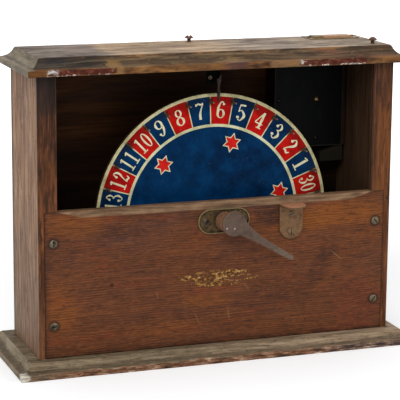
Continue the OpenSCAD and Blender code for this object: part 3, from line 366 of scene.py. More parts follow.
# %% Skin over grids of points
def joined(name, grids, closed=True):
    """One mesh object from grids of points, each (rows, columns, 3). Neighbours in a grid share
    a face; closed joins its last column to its first."""
    vertices, faces, start = [], [], 0
    for grid in grids:
        rows, columns = grid.shape[:2]
        row, column = np.meshgrid(np.arange(rows - 1),
                                  np.arange(columns if closed else columns - 1), indexing="ij")
        beside = (column + 1) % columns
        quads = np.stack([row * columns + column, (row + 1) * columns + column,
                          (row + 1) * columns + beside, row * columns + beside], axis=-1)
        vertices.append(grid.reshape(-1, 3))
        faces.append(quads.reshape(-1, 4) + start)
        start += rows * columns
    mesh = bpy.data.meshes.new(name)
    mesh.from_pydata(np.concatenate(vertices).tolist(), [], np.concatenate(faces).tolist())
    mesh.update()
    piece = bpy.data.objects.new(name, mesh)
    bpy.context.scene.collection.objects.link(piece)
    return piece


def close_up(piece):
    """Merges points that meet, so that poles and ridges close, and turns the faces outward."""
    shape = bmesh.new()
    shape.from_mesh(piece.data)
    bmesh.ops.remove_doubles(shape, verts=shape.verts, dist=SAME_PLACE)
    bmesh.ops.dissolve_degenerate(shape, edges=shape.edges, dist=SAME_PLACE / 2)
    bmesh.ops.recalc_face_normals(shape, faces=shape.faces)
    open_edges = sum(not edge.is_manifold for edge in shape.edges)
    shape.to_mesh(piece.data)
    shape.free()
    piece.data.update()
    return open_edges


SAME_PLACE = 2e-6
print("points closer than", SAME_PLACE, "m count as one")

# %% [markdown]
# The photograph is a studio cut-out: white all round, with only a faint shadow under the base.
# A large plain floor carries that shadow. It also glows, more with the distance from the object,
# so that it fades to white. The glow is shown to the camera, to polished metal and through
# glass, and lights nothing else.


# %% Floor
def looked_at(tree):
    """1 for light that comes straight, by a mirror or through glass to the camera, else 0."""
    path = tree.nodes.new("ShaderNodeLightPath").outputs
    mirrored = add_node(tree, "ShaderNodeMath", {0: path["Is Camera Ray"],
                                                 1: path["Is Glossy Ray"]}, operation="MAXIMUM")
    return add_node(tree, "ShaderNodeMath", {0: mirrored, 1: path["Is Transmission Ray"]},
                    operation="MAXIMUM")


FLOOR_HALF = 6.0
FLOOR_LINES = 9
floor_line = np.linspace(-FLOOR_HALF, FLOOR_HALF, FLOOR_LINES)
floor_x, floor_y = np.meshgrid(floor_line, floor_line, indexing="ij")
floor = joined("studio_floor", [np.stack([floor_x, floor_y, 0 * floor_x], axis=-1)], closed=False)

FADE_FROM, FADE_TO = 0.30, 1.5
GLOW_NEAR, GLOW_FAR = 0.34, 1.0
floor_finish = bpy.data.materials.new("studio_floor")
floor_finish.use_nodes = True
floor_tree = floor_finish.node_tree
floor_tree.nodes.clear()
floor_place = add_node(floor_tree, "ShaderNodeTexCoord", {}, output="Object")
floor_far = add_node(floor_tree, "ShaderNodeVectorMath", {0: floor_place}, output="Value",
                     operation="LENGTH")
floor_lift = add_node(floor_tree, "ShaderNodeMapRange",
                      {"Value": floor_far, "From Min": FADE_FROM, "From Max": FADE_TO,
                       "To Min": GLOW_NEAR, "To Max": GLOW_FAR}, interpolation_type="SMOOTHSTEP")
floor_seen = add_node(floor_tree, "ShaderNodeMath", {0: looked_at(floor_tree), 1: floor_lift},
                      operation="MULTIPLY")
floor_matt = add_node(floor_tree, "ShaderNodeBsdfDiffuse", {"Color": colour("e9e9e9")})
floor_glow = add_node(floor_tree, "ShaderNodeEmission", {"Color": colour("ffffff"),
                                                         "Strength": floor_seen})
floor_both = add_node(floor_tree, "ShaderNodeAddShader", {0: floor_matt, 1: floor_glow})
floor_tree.links.new(floor_both, floor_tree.nodes.new("ShaderNodeOutputMaterial").inputs[0])
floor.data.materials.append(floor_finish)
print("floor", 2 * FLOOR_HALF, "m wide")

# %% [markdown]
# The sky is white to the camera and to polished metal too, but it lights the object at less than
# half that strength, so that the lamps can give it form.

# %% Sky
SKY_STRENGTH = 0.42
world = bpy.data.worlds.new("studio")
bpy.context.scene.world = world
world.use_nodes = True
sky = world.node_tree
sky.nodes.clear()
sky_light = add_node(sky, "ShaderNodeBackground", {"Color": colour("fbfcff"),
                                                   "Strength": SKY_STRENGTH})
sky_white = add_node(sky, "ShaderNodeBackground", {"Color": colour("ffffff")})
sky_choice = add_node(sky, "ShaderNodeMixShader", {0: looked_at(sky), 1: sky_light, 2: sky_white})
sky.links.new(sky_choice, sky.nodes.new("ShaderNodeOutputWorld").inputs[0])
bpy.context.scene.view_settings.view_transform = "Standard"
print("sky lights at", SKY_STRENGTH)

# %% [markdown]
# Three lamps: a strong one from the front left gives the shadows their side, a weak one from the
# right fills them, and one above brightens the top board.


# %% Lamps
def soft_lamp(name, at, target, size, watts):
    """A square area lamp at one point that looks at another."""
    lamp = bpy.data.lights.new(name, "AREA")
    lamp.shape = "SQUARE"
    lamp.size = size
    lamp.energy = watts
    piece = bpy.data.objects.new(name, lamp)
    piece.location = at
    piece.rotation_euler = (Vector(target) - Vector(at)).to_track_quat("-Z", "Y").to_euler()
    bpy.context.scene.collection.objects.link(piece)
    return piece


soft_lamp("key_lamp", (-1.1, -1.9, 1.7), (0, 0, 0.15), 1.3, 34)
soft_lamp("fill_lamp", (1.6, -1.5, 0.9), (0, 0, 0.12), 1.2, 9)
soft_lamp("top_lamp", (0.1, 0.3, 2.2), (0, 0, 0.15), 1.4, 12)

# %% [markdown]
# The boards are where hands have worn the case most. A plain solid has razor edges, which no old
# wood has. Each plain board is copied, its loose triangles are merged into whole faces, and a
# Bevel modifier rounds only its long edges. Holes keep their edges, because a screw sits in them.


# %% Boards and plates with eased edges
SAME_PLANE = math.radians(0.6)


def eased(node, body, width, segments=2, shortest=12 * MM, sharp=35):
    """A copy of a node's solid whose sharp edges longer than shortest are rounded by width."""
    shape = bmesh.new()
    shape.from_mesh(nodes[node].data)
    bmesh.ops.remove_doubles(shape, verts=shape.verts, dist=SAME_PLACE)
    bmesh.ops.dissolve_limit(shape, angle_limit=SAME_PLANE, verts=shape.verts, edges=shape.edges)
    weight = shape.edges.layers.float.new("bevel_weight_edge")
    rounded = 0
    for edge in shape.edges:
        if edge.calc_length() > shortest and edge.calc_face_angle(0) > math.radians(sharp):
            edge[weight] = 1.0
            rounded += 1
    mesh = bpy.data.meshes.new("eased_" + node)
    shape.to_mesh(mesh)
    shape.free()
    piece = bpy.data.objects.new("eased_" + node, mesh)
    bpy.context.scene.collection.objects.link(piece)
    bevel = piece.modifiers.new("worn_edges", "BEVEL")
    bevel.width = width
    bevel.segments = segments
    bevel.limit_method = "WEIGHT"
    bevel.use_clamp_overlap = False
    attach(piece, body)
    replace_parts(piece, node)
    print(piece.name, "rounds", rounded, "edges by", width / MM, "mm")
    return piece


left_board = eased("left_side", "case", 0.8 * MM, 3)
right_board = eased("right_side", "case", 0.8 * MM, 3)
panel_board = eased("front_panel", "case", 0.6 * MM, 3, sharp=12)
back_board = eased("back_panel", "case", 0.6 * MM)
door_board = eased("cash_door", "door", 0.5 * MM)
lever_bar = eased("lever_handle", "lever", 0.6 * MM, 3, shortest=0.1 * MM, sharp=60)
escutcheon = eased("escutcheon", "case", 0.3 * MM, 2, shortest=0.1 * MM, sharp=60)
stop_bracket = eased("stop_bracket", "case", 0.45 * MM, 2, shortest=0.1 * MM, sharp=60)
slot_plate = eased("coin_slot_plate", "case", 0.35 * MM, 2, shortest=2 * MM, sharp=60)
pointer = eased("pointer_finger", "pointer", 0.35 * MM, 2, shortest=0.1 * MM, sharp=60)
pointer_leg = eased("pointer_bracket", "case", 0.4 * MM, 2, shortest=3 * MM, sharp=60)

# %% [markdown]
# The top and the base are moulded: a flat, a hollow cove and a square edge run round all four
# sides and meet in mitres. A worn moulding isn't straight, so it isn't copied but swept. Its wear
# is a seeded sum of sines with a few dents, which is different everywhere and yet the same in
# every run.


# %% Wear along an edge
WAVES = np.array([[2], [5], [11], [23], [47], [83]])


def unevenness(s, seed):
    """Sum of sines along s from 0 to 1, each with a seeded phase; the result stays within 1."""
    source = np.random.default_rng(seed)
    heights = WAVES ** -0.5
    phases = source.uniform(0, 2 * np.pi, WAVES.shape)
    return (heights * np.sin(2 * np.pi * WAVES * s + phases)).sum(axis=0) / heights.sum()


def dents(s, seed, count, width):
    """Sum of narrow bell curves at seeded places along s, each from 0.3 to 1 deep."""
    source = np.random.default_rng(seed)
    places = source.uniform(0.02, 0.98, (count, 1))
    depths = source.uniform(0.3, 1.0, (count, 1))
    spans = source.uniform(0.5, 1.8, (count, 1)) * width
    return (depths * np.exp(-((s - places) / spans) ** 2)).sum(axis=0)


print("wear has", len(WAVES), "sines")

# %% [markdown]
# One profile serves for both mouldings. Each of its points also says how much it is exposed to
# knocks: an arris fully, and the hollow of the cove hardly at all.


# %% Profile of a moulding
def moulding_profile(thick, fillet, cove):
    """Points (inset, height, exposure) from under the board round its edge to its top face. The
    hollow is an arc that starts level on the fillet and ends at the cove's width and full
    height."""
    drop = thick - fillet
    radius = (cove ** 2 + drop ** 2) / (2 * drop)
    reach = math.asin(cove / radius)
    turn = np.linspace(0.14, 1, 11) * reach
    hollow = np.stack([radius * np.sin(turn), fillet + radius * (1 - np.cos(turn)),
                       0.1 + 0 * turn], axis=-1)
    hollow[-1] = [cove, thick - 0.35 * MM, 0.8]
    under = [[4 * MM, 0, 0], [0.7 * MM, 0, 0.3], [0.2 * MM, 0.2 * MM, 0.8], [0, 0.7 * MM, 0.7]]
    edge = [[0, fillet / 2, 0.25], [0, fillet - 0.8 * MM, 0.8],
            [0.35 * MM, fillet - 0.15 * MM, 1.0], [1.1 * MM, fillet + 0.1 * MM, 0.5]]
    flat = [[cove + 0.5 * MM, thick, 0.8], [cove + 2 * MM, thick, 0.15], [cove + 5 * MM, thick, 0]]
    return np.array(under + edge + hollow.tolist() + flat)


print("points in a profile:", len(moulding_profile(15 * MM, 6 * MM, 12 * MM)))

# %% [markdown]
# The profile is carried round a rectangle, and every point is pulled in by the wear, as much as
# it is exposed. Near the mitres the wear is even, so that neighbouring sides meet.


# %% Sweep a worn moulding round a rectangle
SIDE_STEPS = 96
DENTS, DENT_SPAN = 7, 0.006
MITRE_CALM = 0.03
END_WEAR = 0.35
TOP_SINKS, FOOT_RISES = 0.35, 0.1


def swept_board(name, low, high, fillet, cove, seed, wear=0.45 * MM, deep=0.9 * MM):
    """Position = corner(inset) + s * (next corner(inset) - corner(inset)) on each side, at the
    profile's height; the inset grows by wear at every exposed point. The ends wear less than the
    front and the back, and the mitres keep an even wear, so that they close."""
    low, high = np.array(low), np.array(high)
    thick = high[2] - low[2]
    half = (high[1] - low[1]) / 2
    profile = np.concatenate([[[half, 0, 0]], moulding_profile(thick, fillet, cove),
                              [[half, thick, 0]]])
    inset, height, exposure = (profile[:, k][:, None] for k in range(3))
    sink = np.where(height > thick / 2, TOP_SINKS, -FOOT_RISES) * exposure
    s = np.linspace(0, 1, SIDE_STEPS, endpoint=False)
    calm = np.clip(np.minimum(s, 1 - s) / MITRE_CALM, 0, 1)
    along = []
    for side in range(4):
        worn = wear * (0.5 + 0.5 * unevenness(s, seed + side))
        worn = worn + deep * dents(s, seed + 10 + side, DENTS, DENT_SPAN)
        if side % 2 == 1:
            worn = worn * END_WEAR
        d = inset + exposure * (worn * calm + wear * (1 - calm))
        corners = [(low[0] + d, low[1] + d), (high[0] - d, low[1] + d),
                   (high[0] - d, high[1] - d), (low[0] + d, high[1] - d)]
        (ax, ay), (bx, by) = corners[side], corners[(side + 1) % 4]
        z = low[2] + height - sink * worn * calm
        along.append(np.stack([ax + s * (bx - ax), ay + s * (by - ay), z + 0 * s], axis=-1))
    points = np.concatenate(along, axis=1)
    points[:, :, 2] = np.clip(points[:, :, 2], low[2], high[2])
    board = joined(name, [points])
    print(name, "open edges:", close_up(board))
    return board


print("each side takes", SIDE_STEPS, "steps and", DENTS, "dents")

# %% [markdown]
# The slot for the coin and the recesses for the base's screws are cut out with Boolean
# modifiers, which are applied at once, so that no helper solid stays in the scene.


# %% Cut slots and recesses
LATHE_STEPS = 32


def turned(name, centre, axis, profile):
    """A lathe shape: each (radius, distance) of the profile turns once about an axis, 1 or 2,
    through the centre. A radius of 0 closes an end."""
    angle = np.linspace(0, 2 * np.pi, LATHE_STEPS, endpoint=False)
    radius, reach = np.array(profile).T[:, :, None]
    a, b = radius * np.cos(angle), radius * np.sin(angle)
    c = reach + 0 * angle
    points = np.stack([a, b, c] if axis == 2 else [a, c, b], axis=-1) + np.array(centre)
    piece = joined(name, [points])
    close_up(piece)
    return piece


def block(name, low, high):
    """A helper solid: a square ring of four corners carried from low to high, ends closed."""
    x = np.array([low[0], high[0], high[0], low[0]])
    y = np.array([low[1], low[1], high[1], high[1]])
    rings = [np.stack([x * keep + (1 - keep) * x.mean(), y * keep + (1 - keep) * y.mean(),
                       0 * x + z], axis=-1)
             for keep, z in ((0, low[2]), (1, low[2]), (1, high[2]), (0, high[2]))]
    piece = joined(name, [np.stack(rings)])
    close_up(piece)
    return piece


def carve(piece, cutters):
    """Takes the cutters' solids out of the piece for good."""
    for cutter in cutters:
        cut = piece.modifiers.new("cut", "BOOLEAN")
        cut.operation = "DIFFERENCE"
        cut.solver = "EXACT"
        cut.object = cutter
    bpy.context.view_layer.update()
    graph = bpy.context.evaluated_depsgraph_get()
    shaped = bpy.data.meshes.new_from_object(piece.evaluated_get(graph))
    piece.modifiers.clear()
    piece.data = shaped
    for cutter in cutters:
        bpy.data.objects.remove(cutter)


print("cutters turn in", LATHE_STEPS, "steps")

# %% Top board and its slot
slot_low, slot_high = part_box("coin_slot_plate")
COIN_X, COIN_Y, _ = middle("coin_slot_plate")
SLOT_HALF_LONG, SLOT_HALF_WIDE = 11.7 * MM, 1.5 * MM
CUT_FROM, CUT_TO = 0.2, 0.4
top_board = swept_board("worn_top_board", top_low, top_high, fillet=6 * MM, cove=12.7 * MM, seed=3)
carve(top_board, [block("slot_cutter",
                        (COIN_X - SLOT_HALF_LONG, COIN_Y - SLOT_HALF_WIDE, CUT_FROM),
                        (COIN_X + SLOT_HALF_LONG, COIN_Y + SLOT_HALF_WIDE, CUT_TO))])
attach(top_board, "case")
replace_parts(top_board, "top_board")
print("top board has", len(top_board.data.polygons), "faces")

# %% [markdown]
# The base is two planks that meet under the back of the case. Both are cut from one swept board,
# so that their mouldings run on across the joint.

# %% Base board in two pieces
strip_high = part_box("base_back_strip")[1]
BASE_SPLIT = base_high[1]
JOINT_GAP = 0.12 * MM
RECESS_R, RECESS_FROM, RECESS_TO = 4.1 * MM, -1 * MM, 3 * MM
BASE_SCREW_X = 168.5 * MM


def base_piece(name, node, side):
    """The whole moulding, cut off behind or in front of the joint; the cut is closed."""
    whole = swept_board(name, base_low, (base_high[0], strip_high[1], base_high[2]),
                        fillet=6.4 * MM, cove=11.5 * MM, seed=29, wear=0.5 * MM, deep=1.2 * MM)
    shape = bmesh.new()
    shape.from_mesh(whole.data)
    cut = bmesh.ops.bisect_plane(
        shape, geom=shape.verts[:] + shape.edges[:] + shape.faces[:],
        plane_co=(0, BASE_SPLIT - side * JOINT_GAP, 0), plane_no=(0, side, 0), clear_outer=True)
    rim = [part for part in cut["geom_cut"] if isinstance(part, bmesh.types.BMEdge)]
    bmesh.ops.holes_fill(shape, edges=rim, sides=0)
    bmesh.ops.recalc_face_normals(shape, faces=shape.faces)
    shape.to_mesh(whole.data)
    shape.free()
    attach(whole, "case")
    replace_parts(whole, node)
    return whole


base_front = base_piece("worn_base_board", "base_board", 1)
base_back = base_piece("worn_base_back_strip", "base_back_strip", -1)
recesses = []
for k, (x, behind) in enumerate([(-BASE_SCREW_X, 22 * MM), (BASE_SCREW_X, 22 * MM),
                                 (-BASE_SCREW_X, 71 * MM), (BASE_SCREW_X, 71 * MM)]):
    recesses.append(turned(f"recess_{k}", (x, FRONT_Y + behind, 0), 2,
                           [(0, RECESS_FROM), (RECESS_R, RECESS_FROM), (RECESS_R, RECESS_TO),
                            (0, RECESS_TO)]))
carve(base_front, recesses)
print("base:", len(base_front.data.polygons), "and", len(base_back.data.polygons), "faces")

# %% [markdown]
# A coil spring is a thin round section carried along a helix. A Blender curve could do it too,
# but it would have to be made a mesh in the end, and here the path is only a row of points.


# %% Wire along a path
WIRE_SIDES = 8


def wire(name, path, radius):
    """A round section carried along a path of points, with its two ends closed."""
    path = np.asarray(path)
    ahead = np.gradient(path, axis=0)
    ahead /= np.linalg.norm(ahead, axis=1, keepdims=True)
    aid = np.where(np.abs(ahead[:, 1:2]) < 0.9, [[0.0, 1.0, 0.0]], [[1.0, 0.0, 0.0]])
    across = np.cross(ahead, aid)
    across /= np.linalg.norm(across, axis=1, keepdims=True)
    other = np.cross(across, ahead)
    turn = np.linspace(0, 2 * np.pi, WIRE_SIDES, endpoint=False)[None, :, None]
    rings = path[:, None] + radius * (across[:, None] * np.cos(turn)
                                      + other[:, None] * np.sin(turn))
    start = np.repeat(path[:1, None], WIRE_SIDES, axis=1)
    end = np.repeat(path[-1:, None], WIRE_SIDES, axis=1)
    piece = joined(name, [np.concatenate([start, rings, end])])
    close_up(piece)
    piece.data.shade_smooth()
    return piece


print("wire has", WIRE_SIDES, "sides")

# %% [markdown]
# The return spring pulls the lever back. The solid model holds a plain rod there. The lever takes
# the spring's upper hook round with it. Here the spring is wound once, in its resting shape.

# %% Return spring
spring_low, spring_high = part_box("return_spring")
SPRING_X, SPRING_Y, _ = middle("return_spring")
WIRE_R = 0.34 * MM
HOOK_R = 1.95 * MM
COIL_R = 1.72 * MM
COIL_PITCH = 2.25 * WIRE_R
COIL_STEPS = 14
HOOK_INSET = 2.4 * MM
HOOK_NECK = 0.9 * MM
hook_top = spring_high[2] - HOOK_INSET
hook_foot = spring_low[2] + HOOK_INSET
coil_low = hook_foot + HOOK_R + HOOK_NECK
coil_high = hook_top - HOOK_R - HOOK_NECK
turns = round((coil_high - coil_low) / COIL_PITCH)
s = np.linspace(0, 1, COIL_STEPS * turns + 1)
coil = np.stack([SPRING_X + COIL_R * np.cos(2 * np.pi * turns * s),
                 SPRING_Y + COIL_R * np.sin(2 * np.pi * turns * s),
                 coil_low + (coil_high - coil_low) * s], axis=-1)
loop = np.linspace(-0.5 * np.pi, 1.25 * np.pi, 26)
foot_hook = np.stack([SPRING_X + HOOK_R * np.cos(-loop), SPRING_Y + 0 * loop,
                      hook_foot + HOOK_R * np.sin(-loop)], axis=-1)[::-1]
top_hook = np.stack([SPRING_X + HOOK_R * np.cos(loop), SPRING_Y + 0 * loop,
                     hook_top + HOOK_R * np.sin(loop)], axis=-1)
return_spring = wire("wound_return_spring", np.concatenate([foot_hook, coil, top_hook]), WIRE_R)
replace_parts(return_spring, "return_spring")
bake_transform(return_spring)
print("return spring:", turns, "turns,", len(return_spring.data.polygons), "faces")

# %% [markdown]
# The pawl's spring is three turns round the pawl's pin and one straight leg that presses on the
# pawl.

# %% Pawl spring
PAWL_X, _, PAWL_Z = middle("pawl_pin")
ring_low, ring_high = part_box("pawl_spring")
PAWL_WIRE = 0.33 * MM
RING_R = 2.7 * MM
RING_TURNS = 3
LEG_LONG = 8.2 * MM
leg_turn = math.radians(-65.8)
s = np.linspace(0, 1, 91)
swing = leg_turn - 0.5 * np.pi - 2 * np.pi * RING_TURNS * s[::-1]
ring_y = ring_low[1] + PAWL_WIRE + (ring_high[1] - ring_low[1] - 2 * PAWL_WIRE) * s
ring = np.stack([PAWL_X + RING_R * np.cos(swing), ring_y,
                 PAWL_Z + RING_R * np.sin(swing)], axis=-1)
leg = ring[-1] + np.linspace(0.06, 1, 8)[:, None] * LEG_LONG * np.array(
    [math.cos(leg_turn), 0, math.sin(leg_turn)])
pawl_spring = wire("wound_pawl_spring", np.concatenate([ring, leg]), PAWL_WIRE)
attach(pawl_spring, "pawl")
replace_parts(pawl_spring, "pawl_spring")
print("pawl spring:", len(pawl_spring.data.polygons), "faces")

# %% [markdown]
# Thirty pegs stand on the dial, one on each dividing line. They are cut nails: a straight pin
# with a rounded tip. One lathe profile gives all of them at once, because numpy adds the thirty
# places to the same ring of points.

# %% Pegs
FIELDS = 30
PEG_TURN = math.radians(4.2)
PEG_STEP = 2 * math.pi / FIELDS
PEG_CIRCLE = WHEEL_R - 7.6 * MM
PEG_R = 0.8 * MM
PEG_SIDES = 14
peg_low, peg_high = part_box("wheel_pegs")
tip = np.linspace(0, 0.5 * np.pi, 5)
peg_radius = np.concatenate([PEG_R * np.sin(tip), [PEG_R, PEG_R, 0]])
peg_reach = np.concatenate([peg_low[1] + 0.7 * PEG_R * (1 - np.cos(tip)),
                            [DIAL_Y, peg_high[1], peg_high[1]]])
around = np.linspace(0, 2 * np.pi, PEG_SIDES, endpoint=False)
peg_angle = PEG_TURN + PEG_STEP * (np.arange(FIELDS) + 0.5)
peg_x = AXIS_X + PEG_CIRCLE * np.sin(peg_angle)
peg_z = AXIS_Z + PEG_CIRCLE * np.cos(peg_angle)
ring_x = peg_radius[:, None] * np.cos(around)
ring_z = peg_radius[:, None] * np.sin(around)
pegs = np.stack([peg_x[:, None, None] + ring_x,
                 np.broadcast_to(peg_reach[:, None], (FIELDS, len(peg_reach), PEG_SIDES)),
                 peg_z[:, None, None] + ring_z], axis=-1)
peg_pins = joined("rounded_wheel_pegs", list(pegs))
close_up(peg_pins)
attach(peg_pins, "wheel")
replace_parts(peg_pins, "wheel_pegs")
print("pegs:", len(peg_pins.data.polygons), "faces")

# %% [markdown]
# The numerals and stars are printed. Painting a digit with shader math would take a long
# formula for each curve. It is simpler to lay each stroke on the dial as a ribbon a few
# hundredths of a millimetre thick. A stroke is a curve through a few points with a width at each,
# as a sign painter's brush makes it: thick in the stems and thin in the turns.


# %% Strokes of the numerals
def through(points, count):
    """A smooth curve through control points (x, y, width), as a Catmull-Rom spline."""
    knots = np.array(points, float)
    padded = np.concatenate([[2 * knots[0] - knots[1]], knots, [2 * knots[-1] - knots[-2]]])
    place = np.linspace(0, len(knots) - 1, count)
    k = np.minimum(place.astype(int), len(knots) - 2)
    t = (place - k)[:, None]
    a, b, c, d = (padded[k + n] for n in range(4))
    return 0.5 * (2 * b + (c - a) * t + (2 * a - 5 * b + 4 * c - d) * t ** 2
                  + (3 * b - a - 3 * c + d) * t ** 3)


def ball(x, y, r):
    """A round dot as a short stroke whose width is the circle's chord."""
    t = np.linspace(-1, 1, 13)
    return np.stack([x + r * t, y + 0 * t, 2 * r * np.sqrt(1.0001 - t ** 2)], axis=-1)


def hoop(x, y, rx, ry, thick, thin):
    """A closed ring with thick sides and thin top and bottom; its first point comes again."""
    t = np.linspace(0, 2 * np.pi, 37)
    width = thin + (thick - thin) * np.cos(t) ** 2
    return np.stack([x + rx * np.cos(t), y + ry * np.sin(t), width], axis=-1)


def bar(x0, y0, x1, y1, width):
    """A straight stroke of one width."""
    t = np.linspace(0, 1, 5)[:, None]
    return np.array([[x0, y0, width]]) * (1 - t) + np.array([[x1, y1, width]]) * t


SIX = [hoop(.25, .28, .165, .235, .14, .06), ball(.39, .82, .07),
       through([(.09, .30, .13), (.10, .60, .14), (.20, .88, .09), (.30, .96, .06),
                (.39, .88, .06)], 26)]
DIGITS = {
    "0": [hoop(.25, .50, .17, .445, .15, .06)],
    "1": [bar(.25, .03, .25, .97, .15), bar(.06, .035, .44, .035, .07),
          bar(.08, .86, .25, .93, .08)],
    "2": [ball(.12, .74, .085),
          through([(.12, .80, .08), (.25, .96, .06), (.40, .80, .15), (.38, .62, .15),
                   (.22, .36, .09), (.10, .12, .07)], 30),
          through([(.07, .07, .07), (.22, .10, .14), (.36, .04, .10), (.45, .20, .05)], 16)],
    "3": [ball(.11, .76, .08), ball(.11, .22, .085),
          through([(.12, .82, .07), (.25, .96, .06), (.39, .78, .14), (.33, .60, .08),
                   (.20, .545, .05)], 24),
          through([(.20, .545, .05), (.36, .48, .09), (.43, .28, .16), (.28, .04, .06),
                   (.12, .12, .07)], 24)],
    "4": [bar(.33, .96, .04, .30, .07), bar(.03, .28, .49, .28, .075),
          bar(.34, .05, .34, .96, .15), bar(.20, .035, .48, .035, .07)],
    "5": [bar(.12, .91, .42, .93, .11), bar(.12, .93, .10, .52, .06), ball(.11, .21, .085),
          through([(.10, .54, .05), (.25, .62, .07), (.42, .42, .15), (.42, .26, .16),
                   (.27, .04, .06), (.13, .11, .07)], 30)],
    "6": SIX,
    "7": [through([(.06, .86, .12), (.20, .93, .10), (.33, .87, .12), (.46, .95, .05)], 16),
          bar(.06, .80, .06, .95, .06),
          through([(.45, .90, .05), (.32, .60, .08), (.24, .30, .14), (.24, .03, .16)], 18)],
    "8": [hoop(.25, .74, .135, .19, .11, .06), hoop(.25, .27, .17, .225, .14, .06)],
    "9": [np.column_stack([.5 - part[:, 0], 1 - part[:, 1], part[:, 2]]) for part in SIX],
}
print("digits:", "".join(DIGITS))

# %% Numerals on the dial
DIGIT_HIGH = 17.0 * MM
PEN = 0.87
DIGIT_FOOT = 0.7925 * WHEEL_R
ONE_WIDE, TWO_WIDE = 1.10, 0.84
TWO_APART = 0.235
PRINT_LIFT, STROKE_LIFT = 0.040, 0.007


def ribbon(stroke, angle, shift, wide, lift):
    """Four points across the stroke (two at the dial, two at the print's face), carried along
    it; the stroke's x runs along the circle and its y out from the axis."""
    ahead = np.gradient(stroke[:, :2], axis=0)
    ahead /= np.linalg.norm(ahead, axis=1, keepdims=True) + 1e-9
    side = np.stack([-ahead[:, 1], ahead[:, 0]], axis=-1) * stroke[:, 2:] * PEN / 2
    if np.allclose(stroke[0], stroke[-1]):
        side[-1] = side[0] = (side[0] + side[-1]) / 2
    edges = [stroke[:, :2] + side, stroke[:, :2] + side, stroke[:, :2] - side,
             stroke[:, :2] - side]
    flat = np.stack(edges, axis=1)
    if not np.allclose(stroke[0], stroke[-1]):
        first = np.repeat(flat[:1].mean(axis=1, keepdims=True), 4, axis=1)
        last = np.repeat(flat[-1:].mean(axis=1, keepdims=True), 4, axis=1)
        flat = np.concatenate([first, flat, last])
    depth = np.array([0.0, lift, lift, 0.0])
    out = DIGIT_FOOT + flat[..., 1] * DIGIT_HIGH
    along = ((flat[..., 0] - 0.25) * wide + shift) * DIGIT_HIGH
    return np.stack([AXIS_X + out * math.sin(angle) + along * math.cos(angle),
                     DIAL_Y - np.broadcast_to(depth, out.shape),
                     AXIS_Z + out * math.cos(angle) - along * math.sin(angle)], axis=-1)


printed = []
for section in range(FIELDS):
    word = str((5 - section) % FIELDS + 1)
    wide = ONE_WIDE if len(word) == 1 else TWO_WIDE
    places = [0.0] if len(word) == 1 else [-TWO_APART, TWO_APART]
    for digit, shift in zip(word, places):
        for n, stroke in enumerate(DIGITS[digit]):
            printed.append(ribbon(stroke, PEG_TURN + section * PEG_STEP, shift, wide,
                                  (PRINT_LIFT + STROKE_LIFT * n) * MM))
numerals = joined("printed_numerals", printed)
print("numerals:", close_up(numerals), "open edges,", len(numerals.data.polygons), "faces")
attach(numerals, "wheel")


# %% Stars
STAR_CIRCLE = 0.607 * WHEEL_R
STAR_TURN = 11.2
STARS = 6


def star_rings(x, z, outer, inner, turn, lift):
    """A six-pointed star: twelve corners, by turns far and near, as a closed plate."""
    corner = turn + np.arange(12) * math.pi / 6
    reach = np.where(np.arange(12) % 2 == 0, outer, inner)
    rim_x, rim_z = x + reach * np.sin(corner), z + reach * np.cos(corner)
    mid_x, mid_z = np.full(12, x), np.full(12, z)
    foot, face = np.full(12, DIAL_Y), np.full(12, DIAL_Y - lift)
    return np.stack([np.stack(ring, axis=-1) for ring in (
        (mid_x, foot, mid_z), (rim_x, foot, rim_z), (rim_x, face, rim_z), (mid_x, face, mid_z))])


star_lines, star_fields = [], []
for k in range(STARS):
    angle = PEG_TURN + math.radians(STAR_TURN + 360 / STARS * k)
    x = AXIS_X + STAR_CIRCLE * math.sin(angle)
    z = AXIS_Z + STAR_CIRCLE * math.cos(angle)
    star_lines.append(star_rings(x, z, 9.9 * MM, 5.6 * MM, angle, 0.025 * MM))
    star_fields.append(star_rings(x, z, 8.0 * MM, 4.5 * MM, angle, 0.05 * MM))
star_outline = joined("printed_star_outlines", star_lines)
star_red = joined("printed_stars", star_fields)
for piece in (star_outline, star_red):
    print(piece.name, "open edges:", close_up(piece))
    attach(piece, "wheel")

# %% [markdown]
# Now the finishes. Wear needs to know how near a point is to an edge of its board. The three
# distances to the faces of the board's box tell it: on a face one of them is nothing, and on an
# edge two are. So the middle one of the three is the distance to the nearest edge.


# %% Distance to the nearest edge, and a helper that dresses pieces
def edge_distance(finish, low, high):
    """Middle value of the distances to the box's faces along X, Y and Z, in metres."""
    gaps = []
    for value, a, b in zip((finish.x, finish.y, finish.z), low, high):
        gaps.append(finish.math("ABSOLUTE", finish.math("MINIMUM", finish.minus(value, a),
                                                        finish.minus(b, value))))
    least = finish.math("MINIMUM", gaps[0], gaps[1])
    greatest = finish.most(gaps[0], gaps[1])
    return finish.most(least, finish.math("MINIMUM", greatest, gaps[2]))


dressed = set()


def dress(material, *pieces):
    """Gives the finish to nodes, by name, or to new pieces; a new piece's finish also counts for
    the nodes that it replaces.
    """
    for piece in pieces:
        if isinstance(piece, str):
            dressed.add(piece)
            piece = nodes[piece]
        else:
            stood_for = list(piece.get("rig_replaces", []))
            dressed.update(stood_for)
        if len(piece.material_slots) == 0:
            piece.data.materials.append(material)
        for place in piece.material_slots:
            place.material = material
    print(material.name, "->", len(pieces), "pieces")


# %% [markdown]
# The front panel is oak under an old varnish that has darkened to red-brown. Where the varnish
# wore thin it shows orange. A flat brown would look like plastic, so the ground colour follows
# the slow figure of the grain, and three slower noises shift it here and there.

